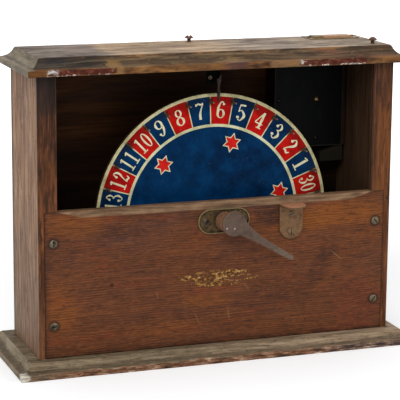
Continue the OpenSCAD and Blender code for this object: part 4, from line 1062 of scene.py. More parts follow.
# %% Varnished oak of the front panel
ROW_GAP = 2.3 * MM
PANEL_SCREW_R = 3.9 * MM
wood = Finish("varnished_oak_panel", roughness=0.45, coat=0.04, coat_roughness=0.3,
              specular=0.14)
figure, streaks, pores = oak_grain(wood, 0, seed=1.7)
base = wood.ramp(figure, (0.32, "462718"), (0.50, "573220"), (0.68, "663a21"))
violet = wood.noise((14, 14, 34), 3, 0.6, move=(6, 4, 2))
base = wood.lay(base, wood.step(violet, 0.50, 0.64), 0.55, "51342c")
russet = wood.noise((22, 22, 80), 3, 0.6, move=(2, 9, 5))
base = wood.lay(base, wood.step(russet, 0.54, 0.66), 0.5, "76351d")
drift = wood.noise((4, 4, 11), 3, 0.55, move=(3, 1, 2))
base = wood.mix(wood.step(drift, 0.42, 0.66, 0, 0.55), base, colour("6d3c1a"))
base = wood.mix(wood.step(drift, 0.46, 0.30, 0, 0.45), base, colour("3f2319"))
wood.say("ground")

# %% [markdown]
# Damp and hands have left light and dark stains. They are ovals with ragged edges, each in its
# own place, as on the real panel. Two dark ones between the lever and the stop are the lever's
# painted shadow, with grime in it. Noise alone would make stains too, but never in these places.


# %% Stains of the panel, and the lever's painted shadow
def ovals(base, word, ragged, soft, places):
    """Lays ragged ovals of one colour over the base. Each place is x, z, width and height in
    millimetres, the turn in radians and the share."""
    for x, z, width, height, turn, share in places:
        oval = wood.blob(x * MM, z * MM, width * MM, height * MM, turn, ragged, soft)
        base = wood.lay(base, oval, share, word)
    return base


base = ovals(base, "8a4d17", 0.6, 0.9, (
    (-142, 139, 30, 11, 0, 0.42), (-157, 58, 17, 24, 0, 0.45), (118, 133, 46, 11, 0, 0.68),
    (-12, 57, 26, 6, 0, 0.4), (80, 128, 34, 9, 0, 0.5), (-60, 34, 34, 9, 0, 0.3)))
base = ovals(base, "6b3120", 0.5, 0.9, ((146, 36, 22, 30, 0, 0.5),))
# The ovals at x 56 and 53 mm, between the lever and the stop, are the lever's painted shadow with
# grime.
base = ovals(base, "361d15", 0.5, 0.9, (
    (108, 86, 30, 10, 1.05, 0.55), (56, 139, 17, 13, 0, 0.85), (53, 137, 13, 10, 0, 0.6),
    (-92, 132, 26, 6, 0.05, 0.45), (60, 62, 30, 16, 0, 0.3), (-20, 96, 44, 12, 0, 0.25),
    (-174, 80, 7, 85, 0, 0.5)))
wood.say("stains")

# %% [markdown]
# Close to, the panel shows wavy rows that run with the grain, and between them pores and specks.
# Dark and light ones are laid in turn, each a step of its own noise.

# %% Rows and pores of the panel
rows = ripples(wood, ROW_GAP, 1.3)
base = wood.lay(base, wood.step(streaks, 0.52, 0.66), 0.24, "2f180e")
base = wood.lay(base, wood.step(streaks, 0.46, 0.32), 0.20, "8a5028")
base = wood.lay(base, rows, 0.42, "2f170e")
lit_rows = ripples(wood, ROW_GAP, 5.1)
base = wood.lay(base, lit_rows, 0.22, "94562c")
base = wood.lay(base, wood.step(pores, 0.57, 0.67), 0.5, "1f0f0a")
specks = wood.noise((190, 190, 620), 3, 0.6, move=(3, 6, 2))
base = wood.lay(base, wood.step(specks, 0.54, 0.64), 0.24, "29150d")
base = wood.lay(base, wood.step(specks, 0.46, 0.36), 0.20, "8f552c")
wood.say("rows and pores")

# %% [markdown]
# A worn band of gilding crosses the middle. Its place is made of three flat ovals, broken up by
# long thin noise. Inside it a dark ground comes first and then gold, where a fine noise is high.

# %% Worn gilding
gilt_at = wood.noise((300, 300, 460), 3, 0.7, move=(9, 0, 4))
gilt = wood.blob(-2 * MM, 79 * MM, 40 * MM, 4.4 * MM, -0.05, 0.2, 0.3)
for x, z, width, height, turn in ((3, 84, 28, 2.2, -0.03), (-6, 73, 25, 2.4, -0.04)):
    gilt = wood.most(gilt, wood.blob(x * MM, z * MM, width * MM, height * MM, turn, 0.2, 0.3))
broken = wood.step(wood.noise((26, 26, 300), 2, 0.5, move=(1, 0, 8)), 0.36, 0.46)
gilt = wood.times(gilt, broken)
base = wood.lay(base, gilt, 0.6, "38230f")
gold = wood.ramp(gilt_at, (0.46, "5c3a14"), (0.54, "9a6a2c"), (0.62, "c08f4e"),
                 (0.68, "dcc79a"))
base = wood.mix(wood.times(gilt, wood.step(gilt_at, 0.46, 0.53, 0, 0.75)), base, gold)
wood.say("gilding")

# %% [markdown]
# Wear comes over all of this: a few scratches in known places, and many small nicks and fine
# scratches that noise spreads evenly.

# %% Scratches and nicks of the panel
base = ovals(base, "b98d62", 0.25, 0.8, (
    (122, 92, 7, 0.5, -0.7, 0.26), (-62, 66, 0.5, 3, 0.2, 0.2), (10, 42, 1.2, 6, 0.1, 0.1),
    (-22, 40, 0.5, 6, 0.4, 0.14), (28, 68, 4, 0.4, -0.9, 0.2)))
nicks, scratches = wear_marks(wood, 1, 5.0)
base = wood.lay(base, nicks, 0.5, "1e100a")
base = wood.lay(base, scratches, 0.07, "b98d62")
base = ovals(base, "1c100b", 0.3, 0.6, ((-107, 80, 2.2, 2.2, 0, 0.7),))
wood.say("scratches")

# %% [markdown]
# The screws have drawn dark rings in the wood, and dirt has gathered at the joints and on the
# sill. Four screws stand at the corners of a rectangle, so the distance to the nearest one needs
# only how far a point is from the middle, sideways and upward. The panel's upper edge is rubbed
# down to bare wood.

# %% Dirt of the panel
screw_low, screw_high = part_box("front_panel_screws")
screw_dx = wood.minus(wood.math("ABSOLUTE", wood.x), screw_high[0] - PANEL_SCREW_R)
screw_up = wood.minus(wood.z, middle("front_panel_screws")[2])
screw_dz = wood.minus(wood.math("ABSOLUTE", screw_up),
                      (screw_high[2] - screw_low[2]) / 2 - PANEL_SCREW_R)
screw_far = wood.math("SQRT", wood.sum(wood.times(screw_dx, screw_dx),
                                       wood.times(screw_dz, screw_dz)))
base = wood.mix(wood.step(screw_far, 7.5 * MM, 4.2 * MM, 0, 0.75), base, colour("22130d"))
edge = edge_distance(wood, panel_low, panel_high)
grime = wood.noise((60, 60, 160), 4, 0.6, move=(5, 0, 0))
near_edge = wood.minus(edge, wood.times(grime, 2.5 * MM))
base = wood.lay(base, wood.step(near_edge, 0.7 * MM, -0.9 * MM), 0.55, "24150e")
sill = wood.step(wood.z, panel_low[2] + 6 * MM, panel_low[2] + 1 * MM, 0, 0.6)
base = wood.lay(base, sill, wood.step(grime, 0.35, 0.6), "1f140e")
worn_top = wood.step(wood.nz, 0.12, 0.4)
bare = wood.ramp(wood.sum(wood.times(streaks, 0.6), wood.times(grime, 0.4)),
                 (0.38, "54402d"), (0.50, "785c44"), (0.64, "95775a"))
base = wood.mix(wood.times(worn_top, 0.92), base, bare)
height = wood.minus(wood.times(streaks, 0.5), wood.step(pores, 0.58, 0.70, 0, 0.8))
height = wood.minus(height, wood.sum(wood.times(rows, 0.35), wood.times(nicks, 1.2)))
rough = wood.step(drift, 0.3, 0.7, 0.40, 0.58)
dress(wood.close(base, height, 0.16 * MM, rough), panel_board)

# %% [markdown]
# The side boards have two characters. Outside, sun and handling have bleached them to a dusty
# pink-grey with long pale scratches. Each layer is a step of a noise that is stretched along the
# grain, and the three long scratches are bands across a slanting line.


# %% Bleached outer face of a side board
LONG_SCRATCHES = ((15, 172, 0.58, 13), (11, 158, 0.5, 6), (-20, 120, -0.2, 9))


def bleached_face(side, base, light, seed, noises, scratches):
    """Lays mottles, dashes, streaks and scratches over the base. A long scratch is where
    y - lean * z stays near its value in the scratch's middle."""
    drift, pale, dashes = noises
    mottle = side.noise((70, 70, 24), 4, 0.65, move=(seed, 1, 7))
    base = side.mix(side.step(drift, 0.42, 0.64, 0, 0.5), base, colour(light))
    base = side.lay(base, side.step(mottle, 0.52, 0.64), 0.5, "9a7a5c")
    base = side.lay(base, side.step(mottle, 0.47, 0.36), 0.5, "6f5b4e")
    base = side.lay(base, side.step(side.z, 0.17, 0.04), 0.5, "5f4a3c")
    base = side.lay(base, side.step(dashes, 0.46, 0.36), 0.6, "5a3d2e")
    base = side.lay(base, side.step(dashes, 0.56, 0.66), 0.45, "bfa38c")
    base = side.lay(base, side.step(pale, 0.42, 0.32), 0.45, "5f4233")
    base = side.lay(base, side.step(pale, 0.60, 0.68), 0.4, "c2a994")
    base = side.lay(base, scratches, 0.5, "cbb7a5")
    for y, z, lean, length in LONG_SCRATCHES:
        near = side.sum(side.minus(side.y, y * MM), side.times(side.minus(side.z, z * MM), -lean))
        mark = side.times(side.band(near, -0.5 * MM, 0.5 * MM, 0.7 * MM),
                          side.band(side.z, (z - length) * MM, (z + length) * MM, 8 * MM))
        base = side.lay(base, mark, 0.6, "d9c8b6")
    return base


print("long scratches:", len(LONG_SCRATCHES))

# %% [markdown]
# The front edges kept more varnish. They are dark brown with orange streaks, and darker at the
# top, under the top board.


# %% Front edge of a side board
def varnished_edge(side, base, dark, light, seed, noises, coarse, foot_share, top_darkening, low_x):
    """Lays blotches, streaks and a darker upper end over the base. The dark part's border is a
    height with noise on it, and the strip beside the window is darkened twice."""
    drift, pale, dashes = noises
    blotch = side.noise(coarse, 4, 0.65, move=(seed, 2, 9))
    base = side.mix(side.step(drift, 0.40, 0.66, 0, 0.5), base, colour(light))
    base = side.lay(base, side.step(blotch, 0.51, 0.60), 0.6, light)
    base = side.lay(base, side.step(blotch, 0.47, 0.38), 0.65, dark)
    base = side.lay(base, side.step(pale, 0.60, 0.74), 0.5, "a8673a")
    base = side.lay(base, side.step(dashes, 0.47, 0.37), 0.6, dark)
    base = side.lay(base, side.step(dashes, 0.55, 0.66), 0.3, "9a6038")
    base = side.lay(base, side.step(side.z, 0.10, 0.03), foot_share, "85573a")
    height = side.sum(side.z, side.times(side.minus(blotch, 0.5), 0.10))
    darkened_top = side.step(height, 0.232, 0.262)
    base = side.lay(base, darkened_top, top_darkening, "1f1a18")
    inward = side.times(darkened_top, side.step(side.x, low_x + 10 * MM, low_x + 13 * MM))
    return side.lay(base, inward, top_darkening, "1a0f09")


print("front edges can be painted")

# %% [markdown]
# Inside, the boards are nearly black, partly dark wood and partly painted shade. One finish mixes
# all three by the way that a face looks, so that the change falls exactly on the edge.


# %% Side boards
def side_finish(name, seed, outer, front, inner, low, high, outside, top_darkening, coarse, foot_share):
    """outer, front and inner are three hex words each: dark, middle and light wood. outside is
    the sign of X on the outer face. On the front edge the upper end is darkened by the share that
    follows outside; coarse is the scale of its blotches along X, Y and Z, and foot_share lightens
    its lower end."""
    side = Finish(name, roughness=0.55, specular=0.12)
    figure, streaks, pores = oak_grain(side, 2, seed=seed)
    tone = side.sum(side.times(figure, 0.45), side.times(streaks, 0.55))
    nicks, scratches = wear_marks(side, 0, seed)
    faces = [side.ramp(tone, (0.40, dark), (0.50, middle), (0.60, light))
             for dark, middle, light in (outer, front, inner)]
    noises = (side.noise((10, 10, 3), 3, 0.6, move=(seed, 4, 1)),
              side.noise((170, 170, 9), 3, 0.6, move=(2, seed, 3)),
              side.noise((230, 230, 22), 4, 0.65, move=(seed, 5, 3)))
    outer_face = bleached_face(side, faces[0], outer[2], seed, noises, scratches)
    front_face = varnished_edge(side, faces[1], front[0], front[2], seed, noises, coarse,
                                foot_share, top_darkening, low[0])
    # The inner face is dark wood under painted shade; it is lighter low down and in a strip next
    # to the front, where less shade is painted.
    shaded_inner_face = side.lay(faces[2], side.step(side.z, 0.23, 0.16), 0.45, inner[2])
    ahead = side.step(side.y, low[1] + 7 * MM, low[1] + 4 * MM)
    shaded_inner_face = side.lay(shaded_inner_face, ahead, 0.85, "744a36")
    front_share = side.times(side.step(side.times(side.ny, -1.0), 0.35, 0.75), ahead)
    outer_share = side.step(side.times(side.nx, outside), 0.35, 0.75)
    back_share = side.step(side.ny, 0.35, 0.75)
    colour_now = side.mix(outer_share, shaded_inner_face, outer_face)
    colour_now = side.mix(front_share, colour_now, front_face)
    colour_now = side.mix(back_share, colour_now, outer_face)
    colour_now = side.lay(colour_now, side.step(pores, 0.58, 0.68), 0.65, "2a1b13")
    colour_now = side.lay(colour_now, nicks, 0.7, "2a1b13")
    edge = edge_distance(side, low, high)
    wander = side.times(side.noise((50, 50, 26), 4, 0.65), 1.6 * MM)
    rubbed = side.step(side.minus(edge, wander), 0.2 * MM, -0.5 * MM, 0, 0.8)
    colour_now = side.lay(colour_now, side.times(rubbed, outer_share), 1.0, "a58f7b")
    colour_now = side.lay(colour_now, side.times(rubbed, front_share), 0.45, "76604f")
    height = side.minus(side.times(streaks, 0.6), side.step(pores, 0.58, 0.70, 0, 0.9))
    height = side.minus(height, nicks)
    rough = side.step(tone, 0.3, 0.7, 0.62, 0.46)
    return side.close(colour_now, height, 0.22 * MM, rough)


dress(side_finish("weathered_left_side", 4.1, outer=("7a563c", "996f50", "b58b67"),
                  front=("28180f", "46291a", "704326"), inner=("130b07", "23160e", "382418"),
                  low=left_low, high=left_high, outside=-1.0, top_darkening=0.85, coarse=(62, 62, 20),
                  foot_share=0.45), left_board)
dress(side_finish("streaked_right_side", 8.6, outer=("5a4236", "76594a", "93745f"),
                  front=("26150d", "462716", "704222"), inner=("2a1c13", "38271b", "463324"),
                  low=right_low, high=right_high, outside=1.0, top_darkening=0.3, coarse=(170, 170, 11),
                  foot_share=0.0), right_board)

# %% [markdown]
# The top board has lost its varnish, and every stretch of it has aged in its own way. One finish
# covers the whole board. It starts with the noises that all its faces share, the height over the
# board's underside, and the place along it, whose borders are made ragged.

# %% Top board
TAN_FROM, DRY_FROM = -0.112, 0.002
LEFT_PAINT, RIGHT_PAINT = (-0.170, -0.105), (0.075, 0.144)
EDGE_TOP, COVE_TOP = 7.4 * MM, 14.2 * MM
top = Finish("dry_top_board", roughness=0.62, specular=0.1)
figure, streaks, pores = oak_grain(top, 0, seed=12.4)
tone = top.sum(top.times(figure, 0.5), top.times(streaks, 0.5))
nicks, scratches = wear_marks(top, 2, 2.0)
fine = top.noise((90, 260, 260), 4, 0.65, move=(4, 1, 6))
grit = top.noise((60, 22, 150), 4, 0.6, move=(2, 7, 3))
rub = top.noise((26, 80, 80), 4, 0.65, move=(1, 1, 1))
ragged = top.noise((14, 60, 14), 4, 0.6, move=(0, 3, 0))
lift = top.minus(top.z, top_low[2])
reach = top.sum(top.x, top.times(top.minus(ragged, 0.5), 0.05))
top.say("noises")

# %% [markdown]
# The upper face is dry grey-brown wood with a lighter tan field, where something once stood, and
# with dark cracks along the grain.

# %% Upper face of the top board
upper = top.ramp(tone, (0.40, "584b43"), (0.50, "7e7065"), (0.60, "9b8d80"))
upper = top.lay(upper, top.step(rub, 0.48, 0.36), 0.5, "574b4a")
tan = top.ramp(tone, (0.40, "947659"), (0.50, "b3977a"), (0.60, "cdb494"))
tan = top.lay(tan, top.step(rub, 0.54, 0.68), 0.4, "b8935f")
dry = top.ramp(tone, (0.40, "7d6c5b"), (0.50, "a69380"), (0.60, "bfad96"))
dry = top.lay(dry, top.band(reach, 0.048, 0.088, 0.02), 0.5, "7d6e66")
dry = top.lay(dry, top.step(rub, 0.48, 0.38), 0.3, "75645a")
upper = top.mix(top.step(reach, TAN_FROM, -0.100), upper, tan)
upper = top.mix(top.step(reach, DRY_FROM, 0.034), upper, dry)
cracks = top.step(top.noise((7, 210, 210), 3, 0.5, move=(0, 8, 0)), 0.61, 0.68)
upper = top.lay(upper, cracks, 0.8, "362b24")
upper = top.lay(upper, top.step(fine, 0.56, 0.66), 0.35, "c0ad95")
top.say("upper face")

# %% [markdown]
# The cove kept a dark skin, which is bluish near the left end, brown in the middle and reddish at
# the right. The two ends of the board show end grain, so they are paler and gritty.

# %% Cove of the top board
dusk = top.ramp(tone, (0.42, "1f1a16"), (0.50, "393129"), (0.60, "52483b"))
brown = top.ramp(tone, (0.42, "483828"), (0.50, "6a5640"), (0.60, "8a7252"))
hollow = top.mix(top.step(reach, -0.130, -0.088), dusk, brown)
bluish = top.times(top.band(reach, -0.172, -0.150, 0.008), top.step(lift, 9 * MM, 12 * MM))
hollow = top.lay(hollow, bluish, 0.6, "20212a")
darker = top.times(top.step(rub, 0.46, 0.38), top.step(reach, -0.1, -0.07))
hollow = top.lay(hollow, darker, 0.6, "3a3029")
paler = top.times(top.step(rub, 0.54, 0.64), top.step(reach, -0.09, -0.06))
hollow = top.lay(hollow, paler, 0.45, "8a6d48")
reddened = top.step(top.sum(top.times(rub, 0.6), top.times(fine, 0.4)), 0.48, 0.56)
hollow = top.lay(hollow, top.times(reddened, top.step(reach, 0.05, 0.09)), 0.6, "6a4237")
ends = top.ramp(grit, (0.38, "63594b"), (0.50, "7d7261"), (0.62, "978a76"))
end_share = top.step(top.math("ABSOLUTE", top.nx), 0.3, 0.6)
hollow = top.mix(end_share, hollow, ends)
top.say("cove")

# %% [markdown]
# The square edge is rubbed to orange, because hands and sleeves touch it first.

# %% Square edge of the top board
rim = top.ramp(rub, (0.38, "372216"), (0.47, "573a24"), (0.56, "6f4c2c"), (0.66, "8f6539"))
rim = top.lay(rim, top.step(fine, 0.52, 0.62), 0.4, "8f5c2e")
rim = top.lay(rim, top.step(fine, 0.46, 0.38), 0.5, "3a2318")
rim = top.lay(rim, top.band(reach, -0.049, 0.0, 0.012), 0.4, "72502f")
rim = top.lay(rim, top.band(reach, DRY_FROM, 0.019, 0.006), 0.5, "553a3c")
rim = top.lay(rim, top.band(reach, 0.044, 0.088, 0.008), 0.6, "8f6d4a")
near_end = top.step(top.x, -0.168, -0.174)
rim = top.lay(rim, near_end, 0.75, "5c3818")
ledge = top.times(top.step(top.math("ABSOLUTE", top.x), top_high[0] - 8 * MM,
                           top_high[0] - 5 * MM),
                  top.step(top.math("ABSOLUTE", top.ny), 0.7, 0.4))
rim = top.mix(top.most(end_share, ledge), rim, ends)
top.say("square edge")

# %% [markdown]
# Masks now tell the faces apart, by the height and by the way that a face looks. Noise on the
# height lets one colour wander into the next.

# %% Masks of the top board's faces
wear_line = top.times(top.minus(rub, 0.5), 3.2 * MM)
edge_share = top.step(top.sum(lift, wear_line), EDGE_TOP, 6.2 * MM)
flat_share = top.times(top.step(top.nz, 0.86, 0.97), top.step(lift, 11 * MM, 13 * MM))
under_share = top.step(top.nz, -0.5, -0.8)
front_edge = top.step(top.y, top_low[1] + 3.0 * MM, top_low[1] + 1.2 * MM)
top.say("masks")

# %% [markdown]
# The square edge still carries two strips of old dark-red paint with white remains. They are
# painted here as plain flaked patches, with a fine noise for the flakes' borders.

# %% Flaked paint
flakes = top.noise((150, 150, 240), 4, 0.7, move=(6, 2, 1))
paint_at = top.most(top.band(top.x, *LEFT_PAINT, 3 * MM), top.band(top.x, *RIGHT_PAINT, 3 * MM))
ragged_lift = top.sum(lift, top.times(top.minus(flakes, 0.5), 3.6 * MM))
paint_red = top.times(top.times(paint_at, front_edge),
                      top.band(ragged_lift, 1.0 * MM, 5.9 * MM, 0.5 * MM))
smear = top.times(top.band(top.x, -0.171, -0.160, 4 * MM), top.step(flakes, 0.45, 0.55))
low_line = top.times(top.band(lift, 0.4 * MM, 1.7 * MM, 0.5 * MM), top.step(flakes, 0.53, 0.59))
left_line = top.times(top.band(top.x, 0.074, 0.081, 3 * MM), top.step(flakes, 0.52, 0.60))
specks = top.step(flakes, 0.63, 0.69)
white_bits = top.most(smear, top.most(top.most(low_line, left_line), specks))
white_bits = top.times(top.times(white_bits, paint_at), front_edge)
paint = top.ramp(flakes, (0.38, "341410"), (0.50, "4e1e15"), (0.60, "6c3a29"))
top.say("paint")

# %% [markdown]
# At the end the layers are laid over each other from the inside out, and pores, nicks and
# chipped edges go over them all. End grain has no long pores, so they fade out on the two ends.

# %% Top board put together
base = top.mix(edge_share, hollow, rim)
strip = top.times(top.band(reach, -0.106, -0.092, 0.006), top.step(lift, 14 * MM, 10 * MM))
base = top.lay(base, strip, 0.6, "8f6d42")
base = top.mix(top.times(paint_red, 0.94), base, paint)
base = top.lay(base, white_bits, 0.85, "c9c3ba")
base = top.mix(flat_share, base, upper)
base = top.mix(under_share, base, colour("1f1711"))
arris = top.band(top.sum(lift, top.times(wear_line, 0.5)), COVE_TOP, 15.9 * MM, 0.8 * MM)
chips = top.ramp(top.sum(top.times(rub, 0.6), top.times(fine, 0.4)),
                 (0.44, "2c2019"), (0.51, "4a3528"), (0.58, "8c6038"))
base = top.mix(top.times(top.times(arris, 0.8), top.step(end_share, 0.6, 0.2)), base, chips)
calm = top.step(end_share, 0, 1, 1, 0.2)
base = top.lay(base, top.times(top.step(pores, 0.58, 0.68), calm), 0.55, "2e241c")
base = top.lay(base, nicks, 0.75, "231a14")
base = top.lay(base, scratches, 0.15, "c9b69d")
height = top.times(top.minus(top.sum(top.times(streaks, 0.7), top.times(fine, 0.5)),
                             top.step(pores, 0.58, 0.70, 0, 0.7)), calm)
height = top.minus(height, top.times(top.most(cracks, nicks), 1.2))
height = top.sum(height, top.times(grit, 0.4))
dress(top.close(base, height, 0.3 * MM, top.step(rub, 0.3, 0.7, 0.66, 0.52)), top_board)

# %% [markdown]
# The base stands on the counter, where dust and polish collect. Its flat is olive-grey and grows
# paler to the right, and its two ends show gritty end grain.

# %% Dust on the base
foot = Finish("dusty_base", roughness=0.6, specular=0.1)
figure, streaks, pores = oak_grain(foot, 0, seed=20.3)
tone = foot.sum(foot.times(figure, 0.45), foot.times(streaks, 0.55))
nicks, scratches = wear_marks(foot, 2, 7.0)
fine = foot.noise((120, 300, 300), 4, 0.65, move=(3, 8, 2))
grit = foot.noise((60, 22, 160), 4, 0.6, move=(2, 7, 3))
dust = foot.mix(foot.step(foot.x, -0.10, 0.17),
                foot.ramp(tone, (0.40, "5a4d3a"), (0.50, "73634d"), (0.60, "8b7a61")),
                foot.ramp(tone, (0.40, "7f6b54"), (0.50, "9a836a"), (0.60, "b39c82")))
ends = foot.ramp(grit, (0.38, "6a5e4b"), (0.50, "847660"), (0.62, "9b8e77"))
end_share = foot.step(foot.math("ABSOLUTE", foot.nx), 0.3, 0.6)
dust = foot.mix(end_share, dust, ends)
dust = foot.lay(dust, foot.step(fine, 0.54, 0.64), 0.3, "a3947a")
dark_dust = foot.times(foot.step(fine, 0.45, 0.36), foot.minus(1.0, end_share))
dust = foot.lay(dust, dark_dust, 0.4, "4a3f31")
foot.say("dust")

# %% [markdown]
# The square edge is bruised down to reddish wood, which turns violet near the right end, and dirt
# lies in the groove above it.

# %% Bruised edge of the base
bruise = foot.noise((80, 240, 420), 4, 0.68, move=(2, 5, 1))
red_wood = foot.ramp(bruise, (0.36, "2c1a12"), (0.45, "5e3c2a"), (0.53, "83583e"),
                     (0.62, "a9876c"), (0.70, "d8c7b4"))
violet = foot.ramp(bruise, (0.40, "241d22"), (0.50, "54403a"), (0.60, "8a6c58"), (0.68, "cfc2b2"))
red_wood = foot.mix(foot.step(foot.x, 0.085, 0.13), red_wood, violet)
waver = foot.noise((60, 150, 190), 4, 0.65)
lift = foot.sum(foot.z, foot.times(foot.minus(waver, 0.5), 4.5 * MM))
edge_share = foot.step(lift, 6.6 * MM, 5.4 * MM)
edge_share = foot.times(edge_share, foot.step(foot.x, -0.190, -0.150, 0.3, 1.0))
under_share = foot.step(foot.nz, -0.5, -0.8)
groove_dirt = foot.band(lift, 6.3 * MM, 8.6 * MM, 1.2 * MM)
base = foot.lay(dust, groove_dirt, 0.45, "30271d")
base = foot.mix(foot.times(edge_share, foot.step(end_share, 0, 1, 0.92, 0.35)), base, red_wood)
foot.say("square edge")

# %% [markdown]
# Dirt has gathered where the case stands on the base, and a white chip is missing at the near
# left corner. The chip is a ball round that corner with noise on its radius.

# %% Base put together
near_case = edge_distance(foot, (CASE_LEFT, FRONT_Y, 0), (CASE_RIGHT, base_high[1], 0))
dirt = foot.noise((40, 40, 40), 4, 0.6, move=(8, 1, 1))
flat_share = foot.step(foot.nz, 0.8, 0.97)
joint = foot.times(flat_share, foot.step(near_case, 3.5 * MM, 0.5 * MM, 0, 0.8))
base = foot.mix(joint, base, colour("2a2018"))
base = foot.lay(base, flat_share, foot.step(dirt, 0.55, 0.68, 0, 0.3), "3d3226")
chip_at = foot.node("ShaderNodeVectorMath",
                    {0: foot.place, 1: (base_low[0], base_low[1], 4 * MM)},
                    output=1, operation="DISTANCE")
chip = foot.step(foot.sum(chip_at, foot.times(foot.minus(bruise, 0.5), 9 * MM)), 9.5 * MM, 6 * MM)
chipped = foot.ramp(fine, (0.40, "b9af9a"), (0.50, "dcd4c4"), (0.60, "ebe6db"))
base = foot.mix(foot.times(chip, 0.9), base, chipped)
base = foot.mix(under_share, base, colour("54493a"))
calm = foot.step(end_share, 0, 1, 1, 0.2)
base = foot.lay(base, foot.times(foot.step(pores, 0.58, 0.68), calm), 0.5, "2f261d")
base = foot.lay(base, nicks, 0.75, "251c15")
base = foot.lay(base, scratches, 0.4, "b9a88f")
height = foot.times(foot.minus(foot.times(streaks, 0.7), foot.step(pores, 0.58, 0.70, 0, 0.7)),
                    calm)
height = foot.minus(foot.sum(height, foot.times(grit, 0.4)), foot.times(nicks, 1.2))
dress(foot.close(base, height, 0.3 * MM, foot.step(dirt, 0.3, 0.7, 0.68, 0.52)), base_front,
      base_back)

# %% [markdown]
# The inside was never varnished and is dark with lamp smoke and oil; its near-black colours are
# partly that and partly painted shade, because the lamps reach into the case. The same boards
# look lighter outside, at the back of the case, where they are plain greyed wood. The finish
# tells the two apart by the place: what lies behind the back board's front plane and looks back
# is outside.


# %% Inner woods
def smoked_and_shaded_wood(name, along, seed, inner, outer, deep):
    """Dark inner wood, partly painted shade, and outer wood on faces at the back of the case that
    look back. deep is the colour of the painted shade to which the lower part of the inside and a
    band across its middle darken."""
    board = Finish(name, roughness=0.6, specular=0.06)
    figure, streaks, pores = oak_grain(board, along, seed=seed)
    tone = board.sum(board.times(figure, 0.45), board.times(streaks, 0.55))
    soft = board.sum(board.times(figure, 0.7), board.times(streaks, 0.3))
    inside = board.ramp(soft, *zip((0.38, 0.50, 0.62), inner))
    outside = board.ramp(tone, *zip((0.40, 0.50, 0.60), outer))
    nicks, scratches = wear_marks(board, 1, seed)
    drift = board.noise(9, 3, 0.6, move=(seed, 2, 5))
    outside = board.mix(board.step(drift, 0.45, 0.66, 0, 0.5), outside, colour(outer[0]))
    facing_back = board.times(board.step(board.ny, 0.3, 0.7),
                              board.step(board.y, back_low[1] + 1 * MM, back_low[1] + 3 * MM))
    facing_back = board.most(facing_back, board.step(board.math("ABSOLUTE", board.x),
                                                     CASE_RIGHT - 1 * MM, CASE_RIGHT - 0.3 * MM))
    # Painted shade: the inside darkens towards the bottom and in a band across the middle.
    inside = board.lay(inside, board.step(board.z, 0.235, 0.165), 0.75, deep)
    inside = board.lay(inside, board.band(board.x, -0.085, 0.060, 0.06), 0.6, deep)
    base = board.mix(facing_back, inside, outside)
    base = board.mix(board.step(pores, 0.60, 0.70, 0, 0.5), base, colour("120b07"))
    edge = edge_distance(board, (CASE_LEFT, back_low[1], back_low[2]), back_high)
    wander = board.times(board.noise((40, 40, 40), 4, 0.65), 3 * MM)
    rubbed = board.step(board.minus(edge, wander), 0.2 * MM, -1.6 * MM, 0, 0.6)
    base = board.lay(base, rubbed, facing_back, "a08c76")
    base = board.lay(base, nicks, 0.6, "1a120c")
    base = board.lay(base, board.times(scratches, facing_back), 0.4, "b7a48d")
    height = board.minus(board.times(streaks, 0.6), board.step(pores, 0.58, 0.70, 0, 0.7))
    height = board.minus(height, nicks)
    return board.close(base, height, 0.2 * MM, board.step(drift, 0.3, 0.7, 0.5, 0.68))


dress(smoked_and_shaded_wood("smoked_and_shaded_back_panel", 0, 30.1, ("1a0d04", "341b0a", "4c2d15"),
                  ("5f4a3a", "7b6350", "937a64"), "050301"), back_board)
dress(smoked_and_shaded_wood("smoked_and_shaded_inner_wood", 2, 34.7, ("0d0705", "1a100a", "2b1b11"),
                  ("55402f", "6e5642", "876d55"), "1a100a"), "coin_partition", "coin_chute",
      "cash_tray")
dress(smoked_and_shaded_wood("pale_deflector", 0, 38.2, ("12100b", "1e1a13", "2b261b"),
                  ("55402f", "6e5642", "876d55"), "1e1a13"), "deflector_block")

# %% [markdown]
# The cash door at the back kept its varnish, but is dark where fingers felt for the lock. The
# distance to the lock's body gives that dark place.

# %% Cash door
door_low, door_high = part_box("cash_door")
panel = Finish("varnished_cash_door", roughness=0.42, coat=0.15, coat_roughness=0.3,
               specular=0.32)
figure, streaks, pores = oak_grain(panel, 2, seed=41.9)
tone = panel.sum(panel.times(figure, 0.5), panel.times(streaks, 0.5))
inside = panel.ramp(tone, (0.36, "120a06"), (0.52, "22140b"), (0.68, "372213"))
outside = panel.ramp(tone, (0.36, "40271a"), (0.50, "5e3a25"), (0.64, "7c4f2c"))
grime = panel.noise(30, 4, 0.6, move=(4, 4, 1))
lock_x, _, lock_z = middle("lock_body")
from_lock = panel.node("ShaderNodeVectorMath",
                       {0: panel.place, 1: (lock_x, door_high[1], lock_z)}, output=1,
                       operation="DISTANCE")
handled = panel.step(panel.sum(from_lock, panel.times(grime, 8 * MM)), 24 * MM, 10 * MM, 0, 0.6)
outside = panel.mix(handled, outside, colour("24160f"))
base = panel.mix(panel.step(panel.ny, 0.3, 0.7), inside, outside)
base = panel.mix(panel.step(pores, 0.60, 0.70, 0, 0.6), base, colour("1c100b"))
edge = edge_distance(panel, door_low, door_high)
rubbed = panel.step(panel.minus(edge, panel.times(grime, 3 * MM)), 0.2 * MM, -1.4 * MM, 0, 0.7)
base = panel.mix(rubbed, base, colour("8f6b4c"))
height = panel.minus(panel.times(streaks, 0.5), panel.step(pores, 0.58, 0.70, 0, 0.8))
dress(panel.close(base, height, 0.16 * MM, panel.step(grime, 0.3, 0.7, 0.36, 0.52)), door_board)

# %% [markdown]
# The wheel's board is cheap softwood behind the dial. Its rim and back are brown with dark
# growth lines.

